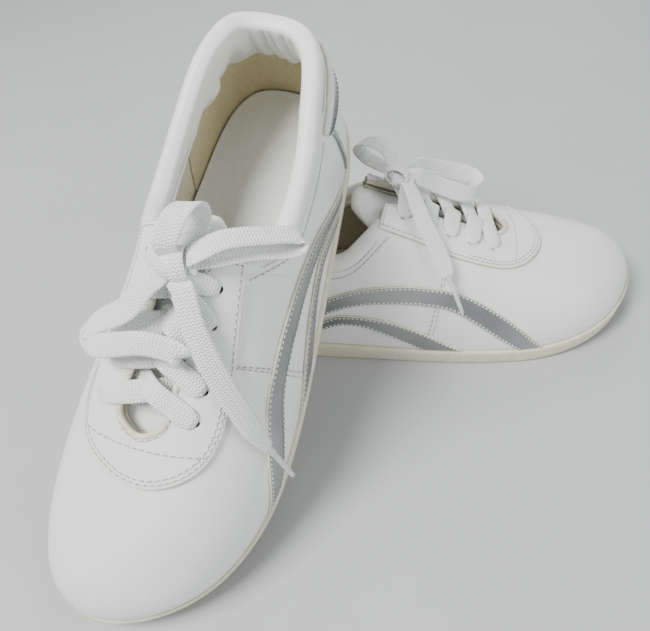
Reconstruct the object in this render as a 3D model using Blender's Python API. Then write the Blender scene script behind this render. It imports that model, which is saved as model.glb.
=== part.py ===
"""A pair of low laced cheer shoes, the left one leaning heel-up on the collar of the right one.

Both shoes come from one design, worked out in millimetres in the shoe's own axes: X from heel to toe,
Y towards the inner ankle and Z up from the ground. The left shoe is its mirror image. Each panel of the
upper is a flat grid bent onto the last, the foot shape inside the shoe, and given its thickness.
"""

import math

import bmesh
import bpy
import numpy as np
from mathutils import Euler, Matrix, Vector

MM = 0.001
PAIR = "cheer_shoes"

# Where each shoe stands: the ground point under the back of its heel, then roll, pitch and yaw.
PAIR_CENTRE = (112.6, -68.0)
RIGHT_PLACE = ((0.0, 0.0, 0.0), (0.0, 0.0, 0.0))
LEFT_PLACE = ((71.2, 40.1, 109.1), (-7.53, 26.38, -106.62))

# The last. The outline of the sole's edge runs from the heel along the outer side and back by the inner.
OUTLINE = ((0, 0), (4.5, -21), (21, -34), (50, -39), (85, -42), (115, -44.5), (148, -47), (176, -47.5),
           (203, -44.5), (229, -33.5), (247, -14), (254.5, 10), (247, 30), (226, 42), (196, 46),
           (168, 44), (138, 39), (108, 35.5), (80, 33.5), (50, 32), (22, 28.5), (4.5, 18))
CREST = ((0, 104), (50, 104), (75, 99), (100, 91), (125, 80), (150, 67), (180, 54), (200, 48),
         (225, 42), (240, 38.5), (256, 34))
RIDGE_Y = ((60, -4), (110, -8), (165, 0), (200, 2))
RIDGE_CURVE = ((60, 0.004), (108, 0.011), (150, 0.006), (185, 0.004))
FEATHER = ((0, 12), (70, 11.5), (130, 10), (190, 10), (225, 12.5), (256, 18))
REACH = ((0, 27), (60, 29), (120, 31), (180, 33), (225, 31), (256, 30))
FULLNESS = ((0, 2.0), (100, 2.1), (170, 2.4), (256, 2.3))
SPINE_X = ((0, 30), (45, 50), (100, 100), (140, 137), (170, 158), (200, 168), (222, 170))

# Sheet thicknesses, and the clearance between stacked sheets.
UPPER = 1.2
OVERLAY = 1.0
STIFFENER = 0.8
LINING = 0.6
GAP = 0.4
OVERLAY_GAP = 0.6
STAY_GAP = 1.0
SEAM_GAP = 0.0005

# The pattern: (x, y) marks are seen from above and (x, z) marks from the side.
SEAM_FOOT_X = 137.0
THROAT_OUTER = ((116.5, -15), (125, -12.5), (140, -10.5), (155, -9.5))
THROAT_FRONT = ((155, -9.5), (168, -9), (176, -6.5), (180.5, 1.5), (176, 9.5), (168, 11), (155, 8))
THROAT_INNER = ((155, 8), (140, 5), (125, 2.5), (108, 1))
STAY_OUTER = ((113.5, -25.2), (126, -26), (140, -27), (152, -28), (164, -28))
STAY_FRONT = ((164, -28), (176, -27), (186, -23.5), (194, -16), (198.5, -6), (198.5, 4), (195.5, 12),
              (190.5, 19.5), (183, 25), (171, 27))
STAY_INNER = ((171, 27), (160, 25), (148, 21.5), (134, 17.5), (122, 15), (108, 14.5))
EYELETS_OUTER = ((125, -18.6), (137, -18.6), (148, -19.2), (159, -19.2), (170.5, -18.2))
EYELETS_INNER = ((118, 8.2), (130, 10.4), (142.5, 13.4), (155, 17), (168.5, 19.2))
EYELET_RADIUS = 1.7
COLLAR_OUTER = ((112, 70), (104, 62.9), (97, 59), (88, 57.5), (74, 57.3), (60, 59), (48, 62), (43, 63.5))
COLLAR_INNER = ((106, 68), (99, 61.5), (92, 58.5), (84, 57.5), (72, 57.3), (60, 59), (48, 62), (43, 63.5))
COLLAR_REAR = ((30, 66.5), (14, 67.0))
COLLAR_HEEL = 65.5
BACK_FOOT_X = 36.5
TAB_FRONT = (50.0, 61.4)
TAB_CORNER = (41.0, 52.0)
TAB_LOW = (22.0, 50.5)
TAB_HEEL = 50.0
STRIPE_HIGH_TOP = ((48, 16), (60, 25), (72, 34.5), (84, 42.5), (96, 47.5), (108, 50), (120, 50.6),
                   (134, 49.3), (152, 45.2), (164, 39.5), (177, 31), (188, 21.9), (199, 10.8))
STRIPE_HIGH_LOW = ((54, 13), (64, 19.5), (75, 27.5), (86, 34.5), (97, 38.8), (108, 40.5), (120, 41),
                   (134, 40.2), (148.7, 36.5), (161.5, 29), (174.5, 19.5), (186, 10.8))
STRIPE_LOW_TOP = ((58, 14), (68, 20.5), (78, 27), (86, 31), (94, 33), (107, 32.1), (121, 29),
                  (138, 21.8), (151, 14), (157, 10.8))
STRIPE_LOW_LOW = ((66, 12.3), (75, 18), (84, 23.5), (92, 26.5), (100, 26.5), (108, 24.6), (121.6, 18.5),
                  (135.5, 10.8))
TONGUE_OUTER = ((100, -12.5), (108, -15), (118, -19.5), (135, -24), (155, -26), (186, -16))
TONGUE_INNER = ((100, 2), (108, 6), (118, 11), (135, 17), (155, 20), (186, 18))
TONGUE_ENDS = (101.0, 184.0)
TONGUE_DEPTH = 5.1

# The padded collar in section: (height over its seam, depth inwards), from the seam over the edge.
COVER_SECTION = ((0.7, 0.8), (3.8, -0.4), (7.4, 1.2), (8.3, 4.6), (5.8, 8.2), (-6, 9.4), (-19, 6.6))
FOAM_SECTION = ((1.6, 2.1), (4.0, 1.1), (6.2, 2.4), (6.6, 4.8), (4.6, 7.0), (-6, 7.9), (-16.5, 6.0),
                (-8, 5.0), (0.6, 4.6))
COVER = 0.8
COLLAR_TRIM = 0.024

# Sole stack.
SOLE_LIP = 1.6
SPRING = ((0, 1.6), (9, 0), (190, 0), (218, 2.0), (240, 5.6), (258, 9.6))
WELL_FLOOR = 4.5
WELL_INSET = 7.0
SHANK_X = (45.0, 130.0)
SHANK_WIDTH = 14.0
SHANK_THICK = 1.2

# Laces, a flat woven tape: (x, y, z) routes in each shoe's own axes.
TAPE_WIDTH = 8.0
TAPE_THICK = 1.4
ROW_HEIGHTS = (3.3, 3.9)
ROW_STEPS = 4
RISER_HEIGHT = 5.6
LEFT_KNOT = (123, -5, 89.5)
RIGHT_KNOT = (123.5, 0.5, 91)
KNOT_RADII = (9.0, 8.0, 5.5)
LEFT_ROUTES = {
    "outer_loop": ((118.4, -12.9, 93.5), (111.5, -20.4, 92), (105.1, -30.1, 85.5), (100, -38.5, 78.5),
                   (100.4, -41.5, 75.5), (104.5, -38.4, 76), (110.6, -27.4, 82.6), (117.3, -17.4, 87.9)),
    "inner_loop": ((119.5, -3.5, 97.8), (114, -4.5, 100), (108.5, -5.5, 100), (104, -6.5, 97), (102.8, -7.5, 93),
                   (105, -8.5, 90.3), (109.5, -9, 89.6), (112.5, -9.3, 89.7)),
    "outer_end": ((131, -10.5, 87.5), (140.2, -14.8, 81.5), (150.7, -22.3, 72.8), (159.8, -30.6, 62.4),
                  (167.8, -38.5, 51.2), (172.6, -44.3, 41.8)),
    "inner_end": ((132.5, 3.5, 87), (140.6, 9, 83), (146.3, 19, 78.5), (151.6, 25.5, 74), (154.5, 18, 77),
                  (150.5, 3, 78.5), (149.8, -5.5, 78), (150.2, -10, 77.4), (150.8, -12.4, 75.6), (150.8, -10.4, 73.9),
                  (151.2, -6.4, 74)),
}
RIGHT_ROUTES = {
    "outer_loop": ((133.6, 0, 88.8), (138, 2, 85.4), (143.4, 3.8, 81), (151, 4, 77.2), (158, 4.8, 73.8),
                   (164, 8.2, 71.5), (166.5, 13.5, 71.8), (164, 18.2, 74.5), (157, 18.6, 77.6), (149.6, 17.2, 80.4),
                   (141.2, 14, 84.5), (134.5, 9.5, 88.5)),
    "inner_loop": ((118.5, 9, 99.5), (113, 11, 102), (107.5, 14.5, 101), (104.5, 19.5, 96), (105.5, 21, 91),
                   (109, 17.5, 89), (113.5, 12, 89.5)),
    "outer_end": ((129.5, -12, 90), (135.2, -24.4, 79.8), (140.5, -30.6, 70.6), (144.9, -36.2, 61.6),
                  (147, -39, 57)),
    "inner_end": ((124, 11.5, 86.5), (128, 17, 81.5), (134.5, 21.5, 75.2), (143.1, 26.2, 66.7), (147, 34.7, 55),
                  (149.8, 40.8, 43.2)),
}
TIP_LENGTH = 19.0
TIP_RADIUS = 1.0

def profile(x, knots):
    """A smooth curve through (x, value) knots that never overshoots them."""
    xs, ys = np.array(knots, float).T
    slope = np.diff(ys) / np.diff(xs)
    ends = np.empty_like(ys)
    ends[0], ends[-1] = slope[0], slope[-1]
    product = slope[:-1] * slope[1:]
    ends[1:-1] = np.where(product > 0, 2 * product / (slope[:-1] + slope[1:] + 1e-12), 0)
    x = np.clip(x, xs[0], xs[-1])
    i = np.clip(np.searchsorted(xs, x) - 1, 0, len(xs) - 2)
    h = xs[i + 1] - xs[i]
    t = (x - xs[i]) / h
    rise = ys[i] * (1 + 2 * t) * (1 - t) ** 2 + ys[i + 1] * t * t * (3 - 2 * t)
    return rise + h * (ends[i] * t * (1 - t) ** 2 + ends[i + 1] * t * t * (t - 1))


def closed_spline(points, count):
    """Evenly spaced points on a smooth closed curve through the given ones."""
    p = np.array(points, float)
    n = len(p)
    h = np.linalg.norm(np.roll(p, -1, 0) - p, axis=1) ** 0.5
    matrix, right = np.zeros((n, n)), np.zeros((n, 2))
    for i in range(n):
        j = (i + 1) % n
        matrix[i, i - 1] += h[i - 1]
        matrix[i, i] += 2 * (h[i - 1] + h[i])
        matrix[i, j] += h[i]
        right[i] = 6 * ((p[j] - p[i]) / h[i] - (p[i] - p[i - 1]) / h[i - 1])
    bend = np.linalg.solve(matrix, right)
    fine = []
    for i in range(n):
        j = (i + 1) % n
        u = np.linspace(0, h[i], 160, endpoint=False)[:, None]
        cubic = (h[i] - u) ** 3 / (6 * h[i]) * bend[i] + u ** 3 / (6 * h[i]) * bend[j]
        fine.append(cubic + (p[i] / h[i] - bend[i] * h[i] / 6) * (h[i] - u)
                    + (p[j] / h[i] - bend[j] * h[i] / 6) * u)
    return resample(np.vstack(fine + [p[:1]]), count + 1)[:-1]


def resample(points, count):
    """Points evenly spaced by length along a polyline."""
    points = np.asarray(points, float)
    run = np.concatenate([[0], np.cumsum(np.linalg.norm(np.diff(points, axis=0), axis=1))])
    wanted = np.linspace(0, run[-1], count)
    return np.stack([np.interp(wanted, run, column) for column in points.T], 1)


def curve_through(points, count):
    """A smooth open curve through hand-placed points, evenly resampled."""
    p = np.asarray(points, float)
    p = np.vstack([2 * p[0] - p[1], p, 2 * p[-1] - p[-2]])
    fine = []
    for a, b, c, d in zip(p, p[1:], p[2:], p[3:]):
        t = np.linspace(0, 1, 24, endpoint=False)[:, None]
        fine.append(0.5 * (2 * b + (c - a) * t + (2 * a - 5 * b + 4 * c - d) * t ** 2
                           + (3 * b - 3 * c + d - a) * t ** 3))
    return resample(np.vstack(fine + [p[-2:-1]]), count)


RIM_COUNT = 1600
RIM = closed_spline(OUTLINE, RIM_COUNT)
RIM_ALONG = np.roll(RIM, -1, 0) - np.roll(RIM, 1, 0)
RIM_ALONG /= np.linalg.norm(RIM_ALONG, axis=1)[:, None]
RIM_INWARD = np.stack([-RIM_ALONG[:, 1], RIM_ALONG[:, 0]], 1)


def rim_at(p):
    """The outline's point and its inward direction at a fraction p of the way round from the heel."""
    q = (np.asarray(p, float) % 1.0) * RIM_COUNT
    i = np.floor(q).astype(int) % RIM_COUNT
    part = (q - np.floor(q))[..., None]
    j = (i + 1) % RIM_COUNT
    inward = RIM_INWARD[i] * (1 - part) + RIM_INWARD[j] * part
    inward /= np.linalg.norm(inward, axis=-1)[..., None]
    return RIM[i] * (1 - part) + RIM[j] * part, inward


def crest(x, y):
    """Height of the last's top, as if the walls were not rounded."""
    return profile(x, CREST) - profile(x, RIDGE_CURVE) * (y - profile(x, RIDGE_Y)) ** 2


def height(plan, edge_x, cosine):
    """Height of the last over a plan point, from how far its wall has still to turn level."""
    low = profile(edge_x, FEATHER)
    rise = (1 - np.clip(cosine, 0, 1) ** profile(edge_x, FULLNESS)) ** 0.49
    return low + (crest(plan[..., 0], plan[..., 1]) - low) * rise


def skin(p, a):
    """The last's surface: a is 0 at the sole's edge, 1 where the wall has turned level, 2 on the spine."""
    p, a = np.broadcast_arrays(np.asarray(p, float), np.asarray(a, float))
    edge, inward = rim_at(p)
    reach = profile(edge[..., 0], REACH)[..., None]
    cosine = np.cos(np.clip(a, 0, 1) * math.pi / 2)
    plan = edge + inward * reach * (1 - cosine[..., None])
    top = edge + inward * reach
    spine_x = profile(top[..., 0], SPINE_X)
    spine = np.stack([spine_x, profile(spine_x, RIDGE_Y)], -1)
    plan = plan + (spine - top) * np.clip(a - 1, 0, 1)[..., None]
    return np.concatenate([plan, height(plan, edge[..., 0], cosine)[..., None]], -1)


def stand_off(marks, out):
    """Points a distance out from the last's surface, along its normal, at (p, a) marks."""
    p, a = np.asarray(marks, float).T
    a = np.clip(a, 0.0, 1.97)
    step = 0.002
    up_from = np.maximum(a, step)
    normal = np.cross(skin(p + step, a) - skin(p - step, a), skin(p, up_from + step) - skin(p, up_from - step))
    normal /= np.linalg.norm(normal, axis=-1)[..., None]
    return skin(p, a) + normal * out


def roof(x, y, out):
    """Points standing out from the last over plan positions on the instep."""
    def level(px, py):
        plan = np.stack([px, py], -1)
        gap = np.linalg.norm(plan[:, None] - RIM[None], axis=-1)
        nearest = gap.argmin(1)
        edge_x = RIM[nearest, 0]
        inside = gap[np.arange(len(nearest)), nearest] / profile(edge_x, REACH)
        return height(plan, edge_x, 1 - inside)
    x, y, out = (np.atleast_1d(np.asarray(value, float)) for value in (x, y, out))
    z = level(x, y)
    step = 0.5
    slope_x = (level(x + step, y) - level(x - step, y)) / (2 * step)
    slope_y = (level(x, y + step) - level(x, y - step)) / (2 * step)
    normal = np.stack([-slope_x, -slope_y, np.ones_like(z)], -1)
    normal /= np.linalg.norm(normal, axis=-1)[:, None]
    return np.stack([x, y, z], -1) + normal * out[:, None]


TABLE_P, TABLE_A = np.meshgrid(np.linspace(0, 1, 1601), np.linspace(0, 1.96, 393), indexing="ij")
TABLE = skin(TABLE_P, TABLE_A)
OUTER, INNER = -1, 1


def on_side(side):
    """The outer side is the first half of the outline, counted from the heel."""
    return (TABLE_P < 0.5) == (side == OUTER)


def seen_from_above(x, y):
    """The (p, a) mark under a plan position."""
    side = OUTER if y < profile(x, RIDGE_Y) else INNER
    miss = (TABLE[..., 0] - x) ** 2 + (TABLE[..., 1] - y) ** 2
    allowed = on_side(side) | (x > SPINE_X[-1][1])
    i = np.unravel_index(np.where(allowed, miss, np.inf).argmin(), miss.shape)
    return TABLE_P[i], TABLE_A[i]


def seen_from_side(side, x, z):
    """The (p, a) mark at this x and height on one side, with p below zero on the inner side."""
    miss = (TABLE[..., 0] - x) ** 2 + (TABLE[..., 2] - z) ** 2
    i = np.unravel_index(np.where(on_side(side) & (TABLE_A < 1.2), miss, np.inf).argmin(), miss.shape)
    return TABLE_P[i] - (side == INNER), TABLE_A[i]


def heel_mark(z):
    """The mark at this height on the back of the heel."""
    a = np.linspace(0, 1.2, 600)
    return 0.0, float(np.interp(z, skin(np.zeros_like(a), a)[:, 2], a))


def foot_mark(side, x):
    """The mark on the sole's edge at this x."""
    return seen_from_side(side, x, profile(x, FEATHER))[0], 0.0


MARK_SCALE = (650, 70)


def line(*stretches):
    """A pattern line of several (share of u, marks) stretches, each smooth and evenly spaced."""
    shares = np.array([share for share, _ in stretches], float)
    shares = np.concatenate([[0], np.cumsum(shares) / shares.sum()])
    tables = []
    for (_, marks), low, high in zip(stretches, shares, shares[1:]):
        marks = curve_through(np.array(marks, float) * MARK_SCALE, 90) / MARK_SCALE
        steps = np.linalg.norm(np.diff(skin(*marks.T), axis=0), axis=1)
        run = np.concatenate([[0], np.cumsum(steps)]) / steps.sum()
        tables.append((low + run * (high - low), marks))
    u = np.concatenate([table[0] for table in tables])
    marks = np.concatenate([table[1] for table in tables])
    return lambda at: np.stack([np.interp(at, u, column) for column in marks.T], -1)


def between(*edges):
    """A patch of marks that runs across a row of pattern lines, v from the first to the last."""
    def patch(u, v):
        at = np.clip(v, 0, 1) * (len(edges) - 1)
        i = np.clip(np.floor(at).astype(int), 0, len(edges) - 2)
        rows = np.stack([edge(u) for edge in edges])
        part = (at - i)[:, None]
        pick = np.arange(len(u))
        return rows[i, pick] * (1 - part) + rows[i + 1, pick] * part
    return patch


def level_line(low, high):
    """The line along the sole's edge between two marks on it."""
    return line((1, [(p, 0.0) for p in np.linspace(low[0], high[0], 12)]))


def wrapped(mark):
    """A mark counted from the heel by the outer side, as lines round the toe need."""
    return (mark[0] % 1.0, mark[1])


def swapped(mark):
    """A mark with p below zero on the inner side, as lines round the heel need."""
    return (mark[0] - 1 if mark[0] > 0.5 else mark[0], mark[1])


# Building helpers: a grid bent to shape, given a second skin and closed round its rim.

PARTS = bpy.data.collections.new(PAIR)
CUTTERS = bpy.data.collections.new("cutters")


def material(name, colour, roughness, metallic=0.0):
    made = bpy.data.materials.get(name)
    if made is None:
        made = bpy.data.materials.new(name)
        made.use_nodes = True
        shader = made.node_tree.nodes["Principled BSDF"]
        shader.inputs["Base Color"].default_value = (*colour, 1.0)
        shader.inputs["Roughness"].default_value = roughness
        shader.inputs["Metallic"].default_value = metallic
    return made


MATERIALS = {
    "white_leather": ((0.86, 0.87, 0.85), 0.42, 0.0),
    "silver_foil": ((0.62, 0.64, 0.66), 0.18, 1.0),
    "beige_lining": ((0.62, 0.55, 0.42), 0.9, 0.0),
    "khaki_lining": ((0.42, 0.36, 0.18), 0.8, 0.0),
    "insole_cloth": ((0.62, 0.65, 0.62), 0.85, 0.0),
    "rubber_sole": ((0.72, 0.70, 0.55), 0.55, 0.0),
    "foam": ((0.85, 0.80, 0.62), 0.9, 0.0),
    "board": ((0.55, 0.42, 0.28), 0.9, 0.0),
    "steel": ((0.55, 0.55, 0.57), 0.35, 1.0),
    "stiffener": ((0.75, 0.72, 0.66), 0.7, 0.0),
    "white_tape": ((0.88, 0.90, 0.88), 0.8, 0.0),
    "clear_tip": ((0.80, 0.82, 0.80), 0.25, 0.0),
}


def finish(bm, name, look, collection=None):
    """Turns a bmesh drawn in the shoe's millimetres into a named object."""
    bmesh.ops.remove_doubles(bm, verts=bm.verts, dist=0.01)
    bmesh.ops.recalc_face_normals(bm, faces=bm.faces)
    mirror = Matrix.Scale(-MM if SHOE["mirrored"] else MM, 4, Vector((0, 1, 0))) @ \
        Matrix.Scale(MM, 4, Vector((1, 0, 0))) @ Matrix.Scale(MM, 4, Vector((0, 0, 1)))
    bmesh.ops.transform(bm, matrix=mirror, verts=bm.verts)
    if SHOE["mirrored"]:
        bmesh.ops.reverse_faces(bm, faces=bm.faces)
    mesh = bpy.data.meshes.new(SHOE["prefix"] + name)
    bm.to_mesh(mesh)
    bm.free()
    mesh.shade_smooth()
    mesh.set_sharp_from_angle(angle=math.radians(40))
    made = bpy.data.objects.new(SHOE["prefix"] + name, mesh)
    (collection or PARTS).objects.link(made)
    made.parent = SHOE["place"]
    if look:
        made.data.materials.append(material(look, *MATERIALS[look]))
    return made


def body_between(name, look, columns, rows, top, bottom, collection=None):
    """A closed body whose two skins are the grid bent by two functions of (u, v)."""
    bm = bmesh.new()
    bmesh.ops.create_grid(bm, x_segments=columns, y_segments=rows, size=0.5)
    first = list(bm.verts)
    uv = np.array([vert.co[:2] for vert in first]) + 0.5
    lifted = bmesh.ops.extrude_face_region(bm, geom=bm.faces[:])["geom"]
    second = [item for item in lifted if isinstance(item, bmesh.types.BMVert)]
    other = np.array([vert.co[:2] for vert in second]) + 0.5
    for verts, places in ((first, bottom(*uv.T)), (second, top(*other.T))):
        for vert, place in zip(verts, places):
            vert.co = place
    return finish(bm, name, look, collection)


def panel(name, look, columns, rows, patch, out, thickness):
    """A sheet over a patch of the last: its outer skin stands out by `out`."""
    return body_between(name, look, columns, rows, lambda u, v: stand_off(patch(u, v), out),
                        lambda u, v: stand_off(patch(u, v), out - thickness))


def slab(name, look, inset, ends, stations, across, top, bottom, collection=None):
    """A body with the sole's outline, inset, between two heights given as functions of x."""
    ring = RIM + RIM_INWARD * inset
    half = RIM_COUNT // 2
    sides = (ring[1:half], ring[half:][::-1])
    low = max(side[0, 0] for side in sides) + ends[0]
    high = min(side[-1, 0] for side in sides) - ends[1]

    def place(u, v, level):
        x = low + (high - low) * (1 - np.cos(math.pi * (0.04 + 0.92 * u))) / 2
        edges = [np.interp(x, *side[np.argsort(side[:, 0])].T) for side in sides]
        return np.stack([x, edges[0] + (edges[1] - edges[0]) * v, level(x)], -1)

    return body_between(name, look, stations, across, lambda u, v: place(u, v, top),
                        lambda u, v: place(u, v, bottom), collection)


def cut(target, cutter, name, operation="DIFFERENCE"):
    cutter.hide_render = True
    cutter.display_type = "WIRE"
    modifier = target.modifiers.new(name, "BOOLEAN")
    modifier.operation = operation
    modifier.solver = "EXACT"
    modifier.object = cutter


# The pattern of one shoe.

def mark_line(side, marks):
    """(x, z) marks on one side turned into (p, a) marks."""
    return [seen_from_side(side, x, z) for x, z in marks]


def plan_marks(marks):
    return [seen_from_above(x, y) for x, y in marks]


SEAM_FOOT = {side: foot_mark(side, SEAM_FOOT_X) for side in (OUTER, INNER)}
BACK_FOOT = {side: foot_mark(side, BACK_FOOT_X) for side in (OUTER, INNER)}
BACK_TOP = {OUTER: seen_from_side(OUTER, *COLLAR_OUTER[-1]), INNER: seen_from_side(INNER, *COLLAR_INNER[-1])}
HEEL_TOP = heel_mark(COLLAR_HEEL)


def shifted(marks, by):
    """Marks moved along the outline by a small fraction of it, to leave a seam's gap."""
    return [(p + by, a) for p, a in marks]


def vamp_patch():
    low = level_line(shifted([wrapped(SEAM_FOOT[OUTER])], SEAM_GAP)[0],
                     shifted([wrapped(SEAM_FOOT[INNER])], -SEAM_GAP)[0])
    top = plan_marks(THROAT_FRONT)
    top[0] = shifted(top[:1], SEAM_GAP)[0]
    top[-1] = shifted(top[-1:], -SEAM_GAP)[0]
    return between(low, line((1, top)))


# How finely the sheets are divided. Stacked sheets share their divisions, so that they stay parallel.
ROWS = 5
VAMP_COLUMNS = 20
PUFF_COLUMNS = (4, 16)
QUARTER_SHARES = (4, 1, 7)
BACK_COLUMNS = 10
COLLAR_COLUMNS = 18


def quarter_patch(side):
    """From the seam with the vamp back to the heel panel; the top runs along throat, stay and collar."""
    throat, corner, collar = {
        OUTER: (THROAT_OUTER[::-1], STAY_OUTER[0], COLLAR_OUTER),
        INNER: (THROAT_INNER, STAY_INNER[-1], COLLAR_INNER),
    }[side]
    throat = [swapped(mark) if side == INNER else mark for mark in plan_marks(throat)]
    corner = plan_marks([corner])[0]
    corner = swapped(corner) if side == INNER else corner
    collar = mark_line(side, collar)
    throat[0] = shifted(throat[:1], side * SEAM_GAP)[0]
    collar[-1] = shifted(collar[-1:], -side * SEAM_GAP)[0]
    foot = shifted([SEAM_FOOT[side]], side * SEAM_GAP)[0]
    heel = shifted([BACK_FOOT[side]], -side * SEAM_GAP)[0]
    top = line((QUARTER_SHARES[0], throat), (QUARTER_SHARES[1], [throat[-1], corner]),
               (QUARTER_SHARES[2], [corner] + collar))
    return between(level_line(foot, heel), top)


def around_heel(inner_marks, heel, outer_marks):
    return line((1, list(reversed(inner_marks)) + [heel] + list(outer_marks)))


def back_patch():
    low = level_line(shifted([BACK_FOOT[INNER]], SEAM_GAP)[0], shifted([BACK_FOOT[OUTER]], -SEAM_GAP)[0])
    rear = {side: mark_line(side, COLLAR_REAR) for side in (OUTER, INNER)}
    top = around_heel(rear[INNER][::-1] + shifted([BACK_TOP[INNER]], SEAM_GAP), HEEL_TOP,
                      rear[OUTER][::-1] + shifted([BACK_TOP[OUTER]], -SEAM_GAP))
    return between(low, top)


def stay_patch():
    """The lace stay: a long U from the outer rear corner round the front to the inner one."""
    outside = line((3, plan_marks(STAY_OUTER)), (3, plan_marks(STAY_FRONT)), (3, plan_marks(STAY_INNER)))
    inside = line((3, plan_marks(THROAT_OUTER)), (3, plan_marks(THROAT_FRONT)), (3, plan_marks(THROAT_INNER)))
    return between(outside, inside)


def tab_patch():
    """The heel tab: under the collar's seam, from one ankle round the heel to the other."""
    top = {side: mark_line(side, [TAB_FRONT, (43, 62.8)] + [(x, z - 0.8) for x, z in COLLAR_REAR])
           for side in (OUTER, INNER)}
    low = {side: mark_line(side, [(46.5, 55.5), TAB_CORNER, TAB_LOW]) for side in (OUTER, INNER)}
    return between(around_heel(low[INNER][::-1], heel_mark(TAB_HEEL), low[OUTER][::-1]),
                   around_heel(top[INNER][::-1], heel_mark(COLLAR_HEEL - 0.8), top[OUTER][::-1]))


def stripe_patch(low, top):
    return between(line((1, mark_line(OUTER, low))), line((1, mark_line(OUTER, top))))


def tongue_place(out):
    def place(u, v):
        x = TONGUE_ENDS[0] + (TONGUE_ENDS[1] - TONGUE_ENDS[0]) * u
        y = profile(x, TONGUE_OUTER) + (profile(x, TONGUE_INNER) - profile(x, TONGUE_OUTER)) * v
        return roof(x, y, out)
    return place


def collar_line():
    """The collar's seam from the inner front corner round the heel to the outer one."""
    rear = {side: mark_line(side, COLLAR_REAR) for side in (OUTER, INNER)}
    outer = rear[OUTER][::-1] + mark_line(OUTER, COLLAR_OUTER)[::-1]
    inner = rear[INNER][::-1] + mark_line(INNER, COLLAR_INNER)[::-1]
    return around_heel(inner, HEEL_TOP, outer)


def collar_place(section, grow=0.0):
    """Bends a section of (height, depth) points along the collar's seam."""
    seam = collar_line()
    section = np.array(section, float)

    def place(u, v):
        u = COLLAR_TRIM + (1 - 2 * COLLAR_TRIM) * u
        marks = seam(u)
        foot = stand_off(marks, 0.0)
        out = stand_off(marks, 1.0) - foot
        above = stand_off(marks + (0, 0.01), 0.0) - foot
        along = stand_off(seam(np.clip(u + 0.004, 0, 1)), 0.0) - stand_off(seam(np.clip(u - 0.004, 0, 1)), 0.0)
        above -= out * (above * out).sum(-1)[:, None]
        along /= np.linalg.norm(along, axis=-1)[:, None]
        above -= along * (above * along).sum(-1)[:, None]
        above /= np.linalg.norm(above, axis=-1)[:, None]
        at = v * (len(section) - 1)
        rise, depth = (np.interp(at, np.arange(len(section)), column) for column in section.T)
        if grow:
            slope = np.gradient(section, axis=0)
            slope /= np.linalg.norm(slope, axis=1)[:, None]
            rise = rise - grow * np.interp(at, np.arange(len(section)), slope[:, 1])
            depth = depth + grow * np.interp(at, np.arange(len(section)), slope[:, 0])
        return foot + above * rise[:, None] - out * depth[:, None]
    return place


# The pieces of one shoe.

def feather(x):
    return profile(x, FEATHER)


def spring(x):
    return profile(x, SPRING)


def build_sole():
    outsole = slab("outsole", "rubber_sole", -SOLE_LIP, (0, 0), 20, 2, lambda x: feather(x) - GAP, spring)
    well = slab("well", None, WELL_INSET, (0, 0), 14, 1, lambda x: feather(x) + 3,
                lambda x: spring(x) + WELL_FLOOR, CUTTERS)
    cut(outsole, well, "well")
    midsole = slab("midsole", "foam", WELL_INSET + 3 * GAP, (1, 1), 14, 1, lambda x: feather(x) - GAP,
                   lambda x: spring(x) + WELL_FLOOR + GAP)
    groove = box("shank_groove", None, SHANK_X, SHANK_WIDTH + 2 * GAP, GAP, SHANK_THICK + 2 * GAP, CUTTERS)
    cut(midsole, groove, "groove")
    box("shank", "steel", SHANK_X, SHANK_WIDTH, 0.0, SHANK_THICK, None)
    slab("insole_board", "board", 5.2, (0, 0), 16, 1, lambda x: feather(x) + 1.6, feather)
    slab("footbed", "insole_cloth", 7.0, (0, 0), 16, 2, lambda x: feather(x) + 5.0, lambda x: feather(x) + 2.0)


def box(name, look, ends, width, grow, thick, collection):
    """A thin strip let into the top of the midsole."""
    def place(level):
        def at(u, v):
            x = ends[0] - grow + (ends[1] - ends[0] + 2 * grow) * u
            return np.stack([x, -2 + width * (v - 0.5), feather(x) - GAP + level], -1)
        return at
    top, bottom = (1.0, -thick) if collection else (-GAP, -GAP - thick)
    return body_between(name, look, 4, 1, place(top), place(bottom), collection)


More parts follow.
